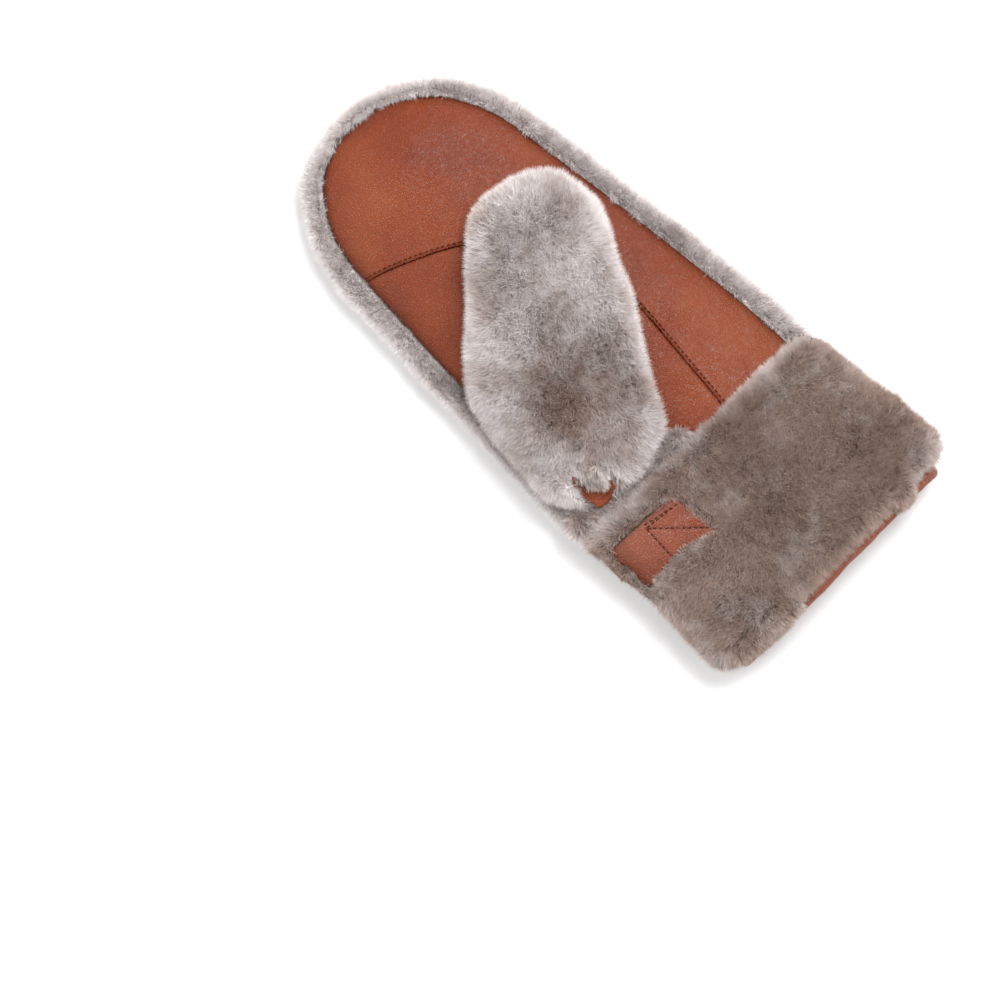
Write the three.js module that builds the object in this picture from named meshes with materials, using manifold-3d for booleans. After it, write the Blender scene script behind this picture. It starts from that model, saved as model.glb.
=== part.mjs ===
// Fur mitten for the left hand, lying palm up on its fur back.
// Millimetres. +Y to the fingertips, -X the thumb side, +Z up from the surface that it lies on.
// Shearling back, thumb and cuff, leather palm in two panels, a strap with a snap across the back.

import * as THREE from "three";
import { mergeVertices } from "three/addons/utils/BufferGeometryUtils.js";
import Module from "manifold-3d";

const wasm = await Module();
wasm.setup();

// Hand and cuff
const HIDE_LENGTH = 296; // seam at the fingertips to the cuff's edge
const PALM_WIDTH = 106; // leather from seam to seam beside the thumb's tip
const BACK_THICKNESS = 11; // hide and pressed pile under the hand
const HAND_ROOM = 17; // inside height at the middle of the palm
const LEATHER = 1.4; // palm leather
const SEAM_HEIGHT = 19; // top of the palm's edge, over the surface
const SEAM_LEDGE = 2.5; // hide turned in under the palm's edge
const CUFF_SLANT = 6; // how far each corner of the cuff's edge is off square
const TIP_ACROSS = -18; // seam at the fingertips, from where the sizes are measured
const TIP_AHEAD = 147.5;
const GAP = 0.3; // between neighbouring pieces

// Fur
const RIM_PILE = 10.5; // seen outside the palm's edge
const RIM_TOP = 24; // top of the rim's pile, over the surface
const CUFF_PILE = 12.5; // on the cuff
const FLOOR_PRESS = 3; // pile that is pressed flat where the mitten lies
const LOCK_DEPTH = 1.6; // how far a lock's tip stands over its root
const LOCK_LENGTH = 27;
const LOCK_WIDTH = 21;

// Thumb
const THUMB_LENGTH = 156; // tip to its base beside the cuff
const THUMB_BASE_AHEAD = 3.8; // base's end in front of the cuff's pile
const THUMB_WIDTH = 82; // at its base
const THUMB_THICKNESS = 31; // over the palm
const THUMB_PILE = 9.5; // hide and pile round the thumb's room
const THUMB_ROOM_ROUND = 14; // over which its room grows from its end
const THUMB_LEAN = 31; // degrees, towards the little finger
const THUMB_HOLE_WIDTH = 44;
const THUMB_HOLE_LENGTH = 58;
const PARTING_WIDTH = 15; // where the thumb's fur parts over the panel's leather
const PARTING_LENGTH = 19;

// Edge of the opening
const BINDING_WIDTH = 6.4; // along the hand
const BINDING_THICKNESS = 4.4;
const FACING_DEPTH = 38;
const FACING_LEATHER = 1.2;
const GATHER_DEPTH = 0.9;
const GATHERS = 9;

// Strap, snap and tabs
const STRAP_LENGTH = 100;
const STRAP_WIDTH = 30;
const STRAP_LEATHER = 2;
const STRAP_CORNER = 1.5; // rounding of its free end
const STRAP_LIFT = 3.2; // strap's face over the surface, the snap's height
const STRAP_CENTRE = 0.785; // share of HIDE_LENGTH from the tip
const SNAP_DIAMETER = 19.5;
const SNAP_INSET = 19; // from the strap's free end
const SNAP_POST = 4; // diameter
const SNAP_EDGE = 0.6; // rolled edge of the cap
const COUNTER_LENGTH = 52;
const COUNTER_WIDTH = 27;
const COUNTER_LEATHER = 1.6;
const COUNTER_SHOWS = 20; // past the strap's free end
const TAB_LENGTH = 43; // seen from above, from the side of the cuff
const TAB_WIDTH = 24.5;
const TAB_LEATHER = 2;
const TAB_SINK = 2.6; // below the tips of the pile
const TUCK = 8; // leather that turns into the hide at a strap's fixed end
const HAIR_MARGIN = 0.8; // between a strap's sides and the pile

// Hide outline, a row for each section.
// along is a share of HIDE_LENGTH from the tip; left and right are shares of PALM_WIDTH.
const HIDE_ROWS = [
  { along: 0.0, left: 0.0, right: 0.0 },
  { along: 0.012, left: -0.19, right: 0.135 },
  { along: 0.032, left: -0.292, right: 0.236 },
  { along: 0.052, left: -0.34, right: 0.311 },
  { along: 0.096, left: -0.413, right: 0.396 },
  { along: 0.14, left: -0.443, right: 0.453 },
  { along: 0.224, left: -0.453, right: 0.5 },
  { along: 0.348, left: -0.453, right: 0.566 },
  { along: 0.476, left: -0.453, right: 0.623 },
  { along: 0.603, left: -0.448, right: 0.679 },
  { along: 0.687, left: -0.434, right: 0.703 },
  { along: 0.731, left: -0.415, right: 0.712 },
  { along: 0.815, left: -0.373, right: 0.741 },
  { along: 0.899, left: -0.362, right: 0.792 },
  { along: 0.963, left: -0.36, right: 0.802 },
  { along: 1.0, left: -0.36, right: 0.802 },
];

// Thumb, a row for each section across its own axis.
// along is a share of THUMB_LENGTH from its tip, left and right of THUMB_WIDTH.
// low, high and dip are shares of THUMB_THICKNESS; dip is how far the left side drops.
const THUMB_ROWS = [
  { along: 0.0, left: 0.06, right: 0.06, low: 0.42, high: 0.42, dip: 0 },
  { along: 0.018, left: -0.06, right: 0.22, low: 0.2, high: 0.72, dip: 0 },
  { along: 0.05, left: -0.21, right: 0.27, low: 0.06, high: 0.88, dip: 0 },
  { along: 0.09, left: -0.3, right: 0.34, low: 0.0, high: 0.95, dip: 0.05 },
  { along: 0.15, left: -0.35, right: 0.41, low: -0.1, high: 1.0, dip: 0.08 },
  { along: 0.31, left: -0.41, right: 0.44, low: -0.15, high: 1.0, dip: 0.12 },
  { along: 0.415, left: -0.46, right: 0.47, low: -0.2, high: 1.0, dip: 0.2 },
  { along: 0.53, left: -0.51, right: 0.485, low: -0.3, high: 0.97, dip: 0.35 },
  { along: 0.627, left: -0.53, right: 0.49, low: -0.4, high: 0.92, dip: 0.42 },
  { along: 0.717, left: -0.46, right: 0.51, low: -0.4, high: 0.84, dip: 0.4 },
  { along: 0.806, left: -0.37, right: 0.52, low: -0.4, high: 0.74, dip: 0.32 },
  { along: 0.883, left: -0.28, right: 0.42, low: -0.4, high: 0.6, dip: 0.2 },
  { along: 0.945, left: -0.2, right: 0.3, low: -0.4, high: 0.45, dip: 0.1 },
  { along: 1.0, left: 0.03, right: 0.03, low: -0.1, high: -0.1, dip: 0 },
];

// Seam between the palm's two panels: shares of PALM_WIDTH across and of HIDE_LENGTH from the tip.
const PANEL_SEAM = [
  { across: -0.8, along: 0.172 },
  { across: -0.453, along: 0.191 },
  { across: -0.25, along: 0.215 },
  { across: -0.02, along: 0.255 },
  { across: 0.2, along: 0.32 },
  { across: 0.31, along: 0.41 },
  { across: 0.335, along: 0.49 },
  { across: 0.325, along: 0.6 },
  { across: 0.31, along: 0.73 },
  { across: 0.31, along: 0.8 },
];

// Soft dents and swells of the palm leather.
// across is a share of PALM_WIDTH, along and length of HIDE_LENGTH, width of PALM_WIDTH,
// rise of LEATHER, and turn is in degrees from the hand's length.
const PALM_FOLDS = [
  { across: -0.1, along: 0.1, width: 0.22, length: 0.05, turn: 20, rise: 0.7 },
  { across: 0.22, along: 0.17, width: 0.12, length: 0.09, turn: -25, rise: -0.8 },
  { across: -0.25, along: 0.17, width: 0.12, length: 0.07, turn: 25, rise: -0.7 },
  { across: -0.3, along: 0.26, width: 0.15, length: 0.06, turn: -40, rise: 0.9 },
  { across: 0.47, along: 0.33, width: 0.07, length: 0.1, turn: 8, rise: -1.0 },
  { across: 0.5, along: 0.5, width: 0.12, length: 0.08, turn: 12, rise: 0.9 },
  { across: 0.42, along: 0.6, width: 0.05, length: 0.07, turn: 30, rise: -1.0 },
  { across: -0.33, along: 0.655, width: 0.11, length: 0.035, turn: 0, rise: 5.0 },
];

const TIP = { x: TIP_ACROSS, y: TIP_AHEAD };
const THUMB_BASE_ACROSS = -0.4199; // share of PALM_WIDTH from the tip's line
const THUMB_HOLE = { across: -0.09, along: 0.535 };
const PARTING = { across: -0.33, along: 0.655 };
const CUFF_START = 0.692; // share of HIDE_LENGTH where the cuff's pile begins
const PALM_END = 0.73; // share where the palm leather ends, under the cuff
const BOXY = 0.8; // powers that flatten a round section's sides
const BOXIER = 0.72;
const DOME_POWER = 2.6; // how flat the palm's crown is
const DOME_REACH = 0.45; // share of PALM_WIDTH over which the palm rises from its tip
const LAP_SHARE = 0.7; // share of a lock's length that rises to its tip
const ROOM_REACH = 24; // over which the room grows to full height from its tip
const HALF_TURN = Math.PI;

// Facets of the meshes that neighbours share
const ROOM_SPOKES = 4 * GATHERS;
const ROOM_RINGS = 20;
const BACK_GRID = [46, 36];
const CUFF_GRID = [42, 16];
const THUMB_GRID = [28, 21];
const THUMB_ROOM_GRID = [18, 10];
const PALM_GRID = [16, 20];
const { clamp, smoothstep, degToRad, lerp } = THREE.MathUtils;

// Reads a table at any share of its length; the root keeps the tip round.
function tableReader(rows, columns) {
  const places = rows.map((row) => Math.sqrt(row.along));
  const values = rows.flatMap((row) => columns.map((column) => row[column]));
  const curve = new THREE.CubicInterpolant(places, values, columns.length);
  return (along) => {
    const found = curve.evaluate(Math.sqrt(clamp(along, 0, 1)));
    return Object.fromEntries(columns.map((column, k) => [column, found[k]]));
  };
}

const readHide = tableReader(HIDE_ROWS, ["left", "right"]);
const readThumb = tableReader(THUMB_ROWS, ["left", "right", "low", "high", "dip"]);

const cuffEdge = TIP.y - HIDE_LENGTH;
const cuffStart = TIP.y - CUFF_START * HIDE_LENGTH;
const roomFloor = BACK_THICKNESS;
const palmCrown = BACK_THICKNESS + HAND_ROOM + LEATHER;
const roomMiddle = (roomFloor + SEAM_HEIGHT) / 2;

const acrossToX = (across) => TIP.x + across * PALM_WIDTH;
const alongToY = (along) => TIP.y - along * HIDE_LENGTH;

// Middle and half width of the hide outline at y.
function hideAt(y) {
  const { left, right } = readHide((TIP.y - y) / HIDE_LENGTH);
  return {
    middle: acrossToX((left + right) / 2),
    half: ((right - left) / 2) * PALM_WIDTH,
  };
}

// The cuff's edge is cut a little slanted, so its end is sheared along the hand.
function slant(point) {
  const reach = smoothstep(-point.y, -alongToY(0.8), -cuffEdge);
  point.y += (CUFF_SLANT * reach * (point.x - TIP.x)) / PALM_WIDTH;
  return point;
}

// A wave power keeps the sign, so that a round section can turn boxy.
const signedPower = (value, power) => Math.sign(value) * Math.abs(value) ** power;

// Pile rounds off over the last millimetres before its edge.
const roundOff = (distance, reach) => Math.sqrt(1 - (1 - clamp(distance / reach, 0, 1)) ** 2);

// Rows of locks lap towards the cuff, each row shifted half a lock from the last.
function lockRelief(y, angle, girth) {
  const row = Math.floor(y / LOCK_LENGTH);
  const phase = 1 - (y / LOCK_LENGTH - row);
  const lap = phase < LAP_SHARE ? phase / LAP_SHARE : (1 - phase) / (1 - LAP_SHARE);
  const locks = Math.max(3, Math.round(girth / LOCK_WIDTH));
  const turn = locks * angle + (row % 2) * HALF_TURN;
  return LOCK_DEPTH * lap * (0.55 + 0.45 * Math.cos(turn));
}

// Closed soft body along Y: place(t, angle) moves each vertex of a round ball,
// t from 0 at the front pole to 1 at the far one.
function softBody(spokes, rings, place) {
  const geometry = new THREE.SphereGeometry(1, spokes, rings);
  const { position, uv } = geometry.attributes;
  for (let i = 0; i < position.count; i++) {
    const t = 1 - uv.getY(i);
    const angle = HALF_TURN * (1 - 2 * uv.getX(i));
    const point = place(clamp(t, 0, 1), angle);
    position.setXYZ(i, point.x, point.y, point.z);
  }
  return geometry;
}

// Closed ring about Y: place(angle, corner) sets each corner of its section.
function ringBody(spokes, corners, place) {
  const geometry = new THREE.TorusGeometry(1, 0.4, corners, spokes);
  const { position, uv } = geometry.attributes;
  for (let i = 0; i < position.count; i++) {
    const angle = 2 * HALF_TURN * (uv.getX(i) % 1);
    const corner = Math.round(uv.getY(i) * corners) % corners;
    const point = place(angle, corner);
    position.setXYZ(i, point.x, point.y, point.z);
  }
  return geometry;
}

// Sheet of leather: place(u, v, side) sets a grid, side 1 on its face and 0 on its back.
function sheetBody(columns, rows, place) {
  const geometry = new THREE.BoxGeometry(1, 1, 1, columns, rows, 1);
  const { position } = geometry.attributes;
  for (let i = 0; i < position.count; i++) {
    const u = position.getX(i) + 0.5;
    const v = position.getY(i) + 0.5;
    const point = place(u, v, position.getZ(i) + 0.5);
    position.setXYZ(i, point.x, point.y, point.z);
  }
  return geometry;
}

// Solid of a closed geometry.
function solidOf(geometry) {
  const bare = geometry.clone();
  bare.deleteAttribute("normal");
  bare.deleteAttribute("uv");
  const merged = mergeVertices(bare, 1e-4);
  return new wasm.Manifold(
    new wasm.Mesh({
      numProp: 3,
      vertProperties: merged.attributes.position.array,
      triVerts: new Uint32Array(merged.index.array),
    }),
  );
}

function geometryOf(solid) {
  const mesh = solid.getMesh();
  const geometry = new THREE.BufferGeometry();
  geometry.setAttribute("position", new THREE.BufferAttribute(mesh.vertProperties, 3));
  geometry.setIndex(new THREE.BufferAttribute(mesh.triVerts, 1));
  geometry.computeVertexNormals();
  return geometry;
}

// Height of the palm leather's face.
function palmFace(x, y) {
  const { middle, half } = hideAt(y);
  const side = clamp(Math.abs(x - middle) / Math.max(half, GAP), 0, 1);
  const fromTip = clamp((TIP.y - y) / (DOME_REACH * PALM_WIDTH), 0, 1);
  const dome = (1 - side ** DOME_POWER) * (1 - (1 - fromTip) ** DOME_POWER);
  const folds = PALM_FOLDS.reduce((sum, fold) => {
    const turn = degToRad(fold.turn);
    const dx = x - acrossToX(fold.across);
    const dy = y - alongToY(fold.along);
    const u = (dx * Math.cos(turn) + dy * Math.sin(turn)) / (fold.width * PALM_WIDTH);
    const v = (dy * Math.cos(turn) - dx * Math.sin(turn)) / (fold.length * HIDE_LENGTH);
    return sum + fold.rise * LEATHER * Math.exp(-u * u - v * v);
  }, 0);
  return lerp(SEAM_HEIGHT, palmCrown, dome) + folds * Math.min(1, 3 * dome);
}

// The palm leather's outline, filled from low(x, y) to high(x, y) and grown by some millimetres.
function palmRegion(grow, low, high) {
  return sheetBody(...PALM_GRID, (u, v, side) => {
    const share = PALM_END * lerp(0.03, 1, 1 - v) ** 1.7;
    const y = alongToY(share);
    const { middle, half } = hideAt(y);
    const x = middle + (2 * u - 1) * (half + grow);
    const outY = v === 1 ? y + Math.max(0, grow) : y;
    const endY = v === 0 ? outY - Math.max(0, grow) : outY;
    return new THREE.Vector3(x, endY, side > 0.5 ? high(x, y) : low(x, y));
  });
}

// Section of the room inside the hand and cuff, offset outwards by some millimetres.
function roomPoint(y, angle, offset) {
  const { middle, half } = hideAt(y);
  const cos = signedPower(Math.cos(angle), BOXY);
  const sin = signedPower(Math.sin(angle), BOXY);
  const top = palmCrown - LEATHER - roomMiddle;
  const bottom = roomMiddle - roomFloor;
  const x = middle + (half - SEAM_LEDGE + offset) * cos;
  const z = roomMiddle + ((sin > 0 ? top : bottom) + offset) * sin;
  return new THREE.Vector3(x, y, z);
}

// Room for the hand, running out through the opening.
function handRoom() {
  const front = TIP.y - 1.5 * SEAM_LEDGE;
  const back = cuffEdge - 4 * BINDING_WIDTH;
  return softBody(ROOM_SPOKES, ROOM_RINGS, (t, angle) => {
    const y = lerp(front, back, (1 - Math.cos(HALF_TURN * t)) / 2);
    if (t === 0 || t === 1) return slant(new THREE.Vector3(hideAt(y).middle, y, roomMiddle));
    const closing = roundOff(front - y, ROOM_REACH);
    const point = roomPoint(y, angle, 0);
    point.z = lerp(roomMiddle, point.z, closing);
    return slant(point);
  });
}

// Back of the mitten with the rim round the palm, before the hand's room is cut.
function backBody(grow) {
  const front = TIP.y + 0.7 * RIM_PILE;
  const end = cuffEdge;
  return softBody(...BACK_GRID, (t, angle) => {
    const y = lerp(front, end, (1 - Math.cos(HALF_TURN * t)) / 2);
    const outY = y + grow * Math.cos(HALF_TURN * t);
    const hide = hideAt(y - (front - TIP.y) * (1 - smoothstep(front - y, 0, 4 * RIM_PILE)));
    if (t === 0 || t === 1) return slant(new THREE.Vector3(hide.middle, outY, roomMiddle));
    const cuffed = smoothstep(-y, -cuffStart, -cuffStart + CUFF_PILE);
    const fromEnd = roundOff(y - end, 0.8 * CUFF_PILE);
    const fromTip = 1 - Math.exp((y - front) / RIM_PILE);
    const relief = lockRelief(y, angle, 2 * hide.half) * fromEnd * fromTip;
    const pile = lerp(RIM_PILE, CUFF_PILE - 1, cuffed) * fromEnd * fromTip + relief + grow;
    const cos = signedPower(Math.cos(angle), BOXY);
    const sin = signedPower(Math.sin(angle), BOXIER);
    const up = lerp(RIM_TOP, SEAM_HEIGHT, cuffed) - roomMiddle + relief + grow;
    const down = roomMiddle - roomFloor + (roomFloor + FLOOR_PRESS + grow) * fromEnd;
    const tipFlat = 0.35 + 0.65 * roundOff(front - y, 1.2 * RIM_PILE);
    const raw = roomMiddle + (sin > 0 ? up : down) * sin * tipFlat;
    const lid = y < cuffStart - CUFF_PILE ? SEAM_HEIGHT - LEATHER - GAP / 2 : Infinity;
    const z = clamp(raw, 0, lid);
    return slant(new THREE.Vector3(hide.middle + (hide.half + pile) * cos, outY, z));
  });
}

// Palm side of the cuff, before the hand's room is cut.
function cuffPoint(y, angle, grow) {
  const edge = roundOff(cuffStart - y, 0.75 * CUFF_PILE) * roundOff(y - cuffEdge, 0.7 * CUFF_PILE);
  const hide = hideAt(y);
  const relief = lockRelief(y + LOCK_LENGTH / 2, angle, 2.4 * hide.half) * edge;
  const pile = CUFF_PILE * edge + relief + grow;
  const cos = signedPower(Math.cos(angle), BOXY);
  const sin = signedPower(Math.sin(angle), BOXIER);
  const z = roomMiddle + (palmCrown - roomMiddle + pile) * sin;
  return new THREE.Vector3(hide.middle + (hide.half + pile) * cos, y, z);
}

function cuffBody(grow) {
  const floor = SEAM_HEIGHT - LEATHER + GAP / 2 - grow;
  return softBody(...CUFF_GRID, (t, angle) => {
    const y = lerp(cuffStart, cuffEdge, (1 - Math.cos(HALF_TURN * t)) / 2);
    const outY = y + grow * Math.cos(HALF_TURN * t);
    if (t === 0 || t === 1) return slant(new THREE.Vector3(hideAt(y).middle, outY, SEAM_HEIGHT));
    const point = cuffPoint(y, angle, grow);
    point.y = outY;
    point.z = Math.max(point.z, floor);
    return slant(point);
  });
}

// Thumb frame: d runs back from its tip along its axis, n to its right.
const lean = degToRad(THUMB_LEAN);
const thumbAxis = new THREE.Vector2(Math.sin(lean), Math.cos(lean));
const thumbRight = new THREE.Vector2(Math.cos(lean), -Math.sin(lean));
const thumbBase = new THREE.Vector2(acrossToX(THUMB_BASE_ACROSS), cuffStart + THUMB_BASE_AHEAD);
const thumbTip = thumbBase.clone().addScaledVector(thumbAxis, THUMB_LENGTH);

function thumbPoint(d, n, z) {
  const place = thumbTip.clone().addScaledVector(thumbAxis, -d).addScaledVector(thumbRight, n);
  return new THREE.Vector3(place.x, place.y, z);
}

// Thumb body between two shares of its length, inset by some millimetres for its room.
function thumbBody(inset, grid, first, last) {
  return softBody(...grid, (t, angle) => {
    const share = lerp(first, last, (1 - Math.cos(HALF_TURN * t)) / 2);
    const row = readThumb(share);
    const d = share * THUMB_LENGTH;
    const middle = (row.left + row.right) / 2;
    const low = palmCrown + row.low * THUMB_THICKNESS;
    const high = palmCrown + row.high * THUMB_THICKNESS;
    const centre = (low + high) / 2;
    if (t === 0 || t === 1) return thumbPoint(d, middle * THUMB_WIDTH, centre);
    const half = ((row.right - row.left) / 2) * THUMB_WIDTH - inset;
    const relief = inset > 0 ? 0 : lockRelief(d, angle, 3 * half) * Math.sin(HALF_TURN * t) ** 0.5;
    const cos = signedPower(Math.cos(angle), BOXY);
    const sin = signedPower(Math.sin(angle), BOXIER);
    const rise = (high - low) / 2 - inset + relief;
    const drop = row.dip * THUMB_THICKNESS * Math.max(0, -cos) ** 2;
    const closing = inset > 0 ? roundOff((share - first) * THUMB_LENGTH, THUMB_ROOM_ROUND) : 1;
    return thumbPoint(
      d,
      middle * THUMB_WIDTH + (half + relief) * cos * closing,
      centre + Math.max(rise, LEATHER) * sin * closing - drop,
    );
  });
}

// Way from the hand's room up into the thumb's.
function thumbWay() {
  const geometry = new THREE.CylinderGeometry(1, 1, 1, 24);
  geometry.rotateX(HALF_TURN / 2);
  geometry.scale(THUMB_HOLE_WIDTH / 2, THUMB_HOLE_LENGTH / 2, palmCrown);
  geometry.rotateZ(-lean);
  const z = roomMiddle + palmCrown / 2;
  geometry.translate(acrossToX(THUMB_HOLE.across), alongToY(THUMB_HOLE.along), z);
  return geometry;
}

// Dimple at the thumb's base where its fur parts and the leather under it shows.
function partingBody() {
  const geometry = new THREE.SphereGeometry(1, 14, 10);
  geometry.scale(PARTING_WIDTH / 2, PARTING_LENGTH / 2, 0.5 * THUMB_THICKNESS);
  const z = palmCrown + 0.5 * THUMB_THICKNESS;
  geometry.translate(acrossToX(PARTING.across), alongToY(PARTING.along), z);
  return geometry;
}

// Thumb side of the palm's panel seam, moved off the seam by some millimetres.
function thumbSide(offset) {
  const seam = new THREE.SplineCurve(
    PANEL_SEAM.map(({ across, along }) => new THREE.Vector2(acrossToX(across), alongToY(along))),
  );
  const shape = new THREE.Shape();
  for (let i = 0; i <= 26; i++) {
    const point = seam.getPoint(i / 26);
    const along = seam.getTangent(i / 26);
    const moved = point.add(new THREE.Vector2(along.y, -along.x).multiplyScalar(-offset));
    if (i === 0) shape.moveTo(moved.x, moved.y);
    else shape.lineTo(moved.x, moved.y);
  }
  shape.lineTo(acrossToX(-0.8), alongToY(0.8));
  shape.closePath();
  return new THREE.ExtrudeGeometry(shape, { depth: 3 * palmCrown, bevelEnabled: false });
}

// Strap-like leather: runs along X from one end, its two faces at low(x) and high(x).
function stripBody(strip, grow, low, high) {
  return sheetBody(9, 1, (u, v, side) => {
    const x = lerp(strip.from, strip.to, u);
    const before = u === 0 ? grow : 0;
    const past = u === 1 ? grow : 0;
    const corner = u === 1 ? strip.corner : 0;
    const y = strip.y + (v - 0.5) * (strip.width - 2 * corner + 2 * grow);
    const z = side > 0.5 ? high(x) + before + past : low(x);
    return new THREE.Vector3(x - before + past, y, z);
  });
}

const strapY = alongToY(STRAP_CENTRE);
const strapRoot = hideAt(strapY).middle - hideAt(strapY).half;
const strap = {
  from: strapRoot,
  to: strapRoot + STRAP_LENGTH,
  y: strapY,
  width: STRAP_WIDTH,
  corner: STRAP_CORNER,
};
const counter = {
  from: strap.to + COUNTER_SHOWS - COUNTER_LENGTH,
  to: strap.to + COUNTER_SHOWS,
  y: strapY,
  width: COUNTER_WIDTH,
  corner: 0,
};

// The fixed ends turn into the hide.
const turnIn = (distance) => 0.45 * TUCK * (1 - smoothstep(distance, 0, TUCK)) ** 2;
const strapLow = (x) => STRAP_LIFT + turnIn(x - strap.from);
const strapHigh = (x) => strapLow(x) + STRAP_LEATHER;
const counterLow = (x) => STRAP_LIFT + STRAP_LEATHER + GAP + 0.5 * turnIn(counter.to - x);
const counterHigh = (x) => counterLow(x) + COUNTER_LEATHER;
const snapX = strap.to - SNAP_INSET;

// Domed cap under the strap's face, with the post that goes through strap and tab.
function snapBody() {
  const radius = SNAP_DIAMETER / 2;
  const face = STRAP_LIFT - GAP;
  const reach = STRAP_LIFT + STRAP_LEATHER + GAP + COUNTER_LEATHER;
  const profile = [new THREE.Vector2(0, GAP)];
  for (let i = 1; i <= 5; i++) {
    const turn = (HALF_TURN / 2) * (i / 5);
    const r = radius * Math.sin(turn);
    profile.push(new THREE.Vector2(r, lerp(face - SNAP_EDGE, GAP, Math.cos(turn))));
  }
  profile.push(new THREE.Vector2(radius - GAP, face));
  profile.push(new THREE.Vector2(SNAP_POST / 2, face));
  profile.push(new THREE.Vector2(SNAP_POST / 2, reach));
  profile.push(new THREE.Vector2(0, reach));
  const geometry = new THREE.LatheGeometry(profile, 22);
  geometry.rotateX(HALF_TURN / 2);
  geometry.translate(snapX, strapY, 0);
  return geometry;
}

function postHole() {
  const radius = SNAP_POST / 2 + GAP;
  const geometry = new THREE.CylinderGeometry(radius, radius, 4 * STRAP_LIFT, 20);
  geometry.rotateX(HALF_TURN / 2);
  geometry.translate(snapX, strapY, STRAP_LIFT);
  return geometry;
}

// Palm tab: bends over the cuff from the side seam towards the middle.
function tabBody(grow, low, high) {
  const start = 0.96 * HALF_TURN;
  const reach = hideAt(strapY).half + CUFF_PILE;
  const end = HALF_TURN - Math.acos(((reach - TAB_LENGTH - grow) / reach) ** (1 / BOXY));
  return sheetBody(12, 3, (u, v, side) => {
    const y = strapY + (v - 0.5) * (TAB_WIDTH + 2 * grow);
    const angle = lerp(start + 0.02 * grow, end, u);
    const outer = cuffPoint(y, angle, 0);
    const inner = roomPoint(y, angle, 0);
    const deep = outer.clone().sub(inner).normalize();
    return slant(outer.addScaledVector(deep, side > 0.5 ? high : low));
  });
}

// Binding rolled over the edge of the opening.
function bindingBody() {
  const corners = 6;
  return ringBody(ROOM_SPOKES, corners, (angle, corner) => {
    const turn = (2 * HALF_TURN * corner) / corners;
    const out = (BINDING_THICKNESS / 2) * Math.cos(turn);
    const point = roomPoint(cuffEdge, angle, SEAM_LEDGE / 2 + out);
    point.y -= (BINDING_WIDTH / 2) * Math.sin(turn);
    return slant(point);
  });
}

// Seat of the binding in the edge of the hide.
function bindingSeat() {
  return ringBody(ROOM_SPOKES, 4, (angle, corner) => {
    const outside = corner === 0 || corner === 3;
    const atEdge = corner === 0 || corner === 1;
    const out = outside ? (SEAM_LEDGE + BINDING_THICKNESS) / 2 + GAP : -SEAM_LEDGE;
    const y = cuffEdge + (atEdge ? -1 : 0.5) * BINDING_WIDTH + (atEdge ? 0 : GAP);
    return slant(roomPoint(y, angle, out));
  });
}

// Facing just inside the opening, gathered towards the edge.
function facingBody() {
  return ringBody(ROOM_SPOKES, 4, (angle, corner) => {
    const outside = corner === 0 || corner === 3;
    const atEdge = corner === 0 || corner === 1;
    const gather = GATHER_DEPTH * (0.5 - 0.5 * Math.cos(GATHERS * angle));
    const inset = outside ? GAP : GAP + FACING_LEATHER + (atEdge ? gather : 0);
    const y = cuffEdge + (atEdge ? BINDING_WIDTH / 2 + GAP : FACING_DEPTH);
    return slant(roomPoint(y, angle, -inset));
  });
}

// Cut and join the solids
const room = solidOf(handRoom());
const palmSheet = solidOf(
  palmRegion(-GAP, (x, y) => palmFace(x, y) - LEATHER, palmFace),
);
const palmCover = solidOf(
  palmRegion(0, () => roomMiddle, (x, y) => palmFace(x, y) + GAP),
);
const palmOpening = solidOf(
  palmRegion(0, () => SEAM_HEIGHT - LEATHER - GAP, () => 3 * palmCrown),
);
const way = solidOf(thumbWay());
const thumbRoom = solidOf(thumbBody(THUMB_PILE, THUMB_ROOM_GRID, 0.1, 0.86));
const strapCut = solidOf(stripBody(strap, HAIR_MARGIN, () => -STRAP_LIFT, (x) => strapHigh(x) + GAP));
const counterCut = solidOf(
  stripBody(counter, HAIR_MARGIN, () => -STRAP_LIFT, (x) => counterHigh(x) + GAP),
);
const tabCut = solidOf(tabBody(HAIR_MARGIN, -TAB_SINK - TAB_LEATHER - GAP, CUFF_PILE));
const hole = solidOf(postHole());

const seat = solidOf(bindingSeat());
const cuffCover = solidOf(cuffBody(GAP));
const back = solidOf(backBody(0))
  .subtract(room)
  .subtract(palmOpening)
  .subtract(cuffCover)
  .subtract(strapCut)
  .subtract(counterCut)
  .subtract(seat);
const cuff = solidOf(cuffBody(0))
  .subtract(room)
  .subtract(palmCover)
  .subtract(tabCut)
  .subtract(seat);
const thumb = solidOf(thumbBody(0, THUMB_GRID, 0, 1))
  .subtract(palmCover)
  .subtract(solidOf(backBody(GAP)))
  .subtract(cuffCover)
  .subtract(thumbRoom)
  .subtract(way)
  .subtract(solidOf(partingBody()));

const solids = {
  back_fur: back,
  palm_panel: palmSheet.subtract(solidOf(thumbSide(GAP / 2))),
  thumb_panel: palmSheet.intersect(solidOf(thumbSide(-GAP / 2))).subtract(way),
  thumb_fur: thumb,
  cuff_fur: cuff,
  cuff_binding: solidOf(bindingBody()),
  mouth_facing: solidOf(facingBody()),
  palm_tab: solidOf(tabBody(0, -TAB_SINK - TAB_LEATHER, -TAB_SINK)),
  back_strap: solidOf(stripBody(strap, 0, strapLow, strapHigh)).subtract(hole),
  counter_tab: solidOf(stripBody(counter, 0, counterLow, counterHigh)).subtract(hole),
  snap_cap: solidOf(snapBody()),
};

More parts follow.
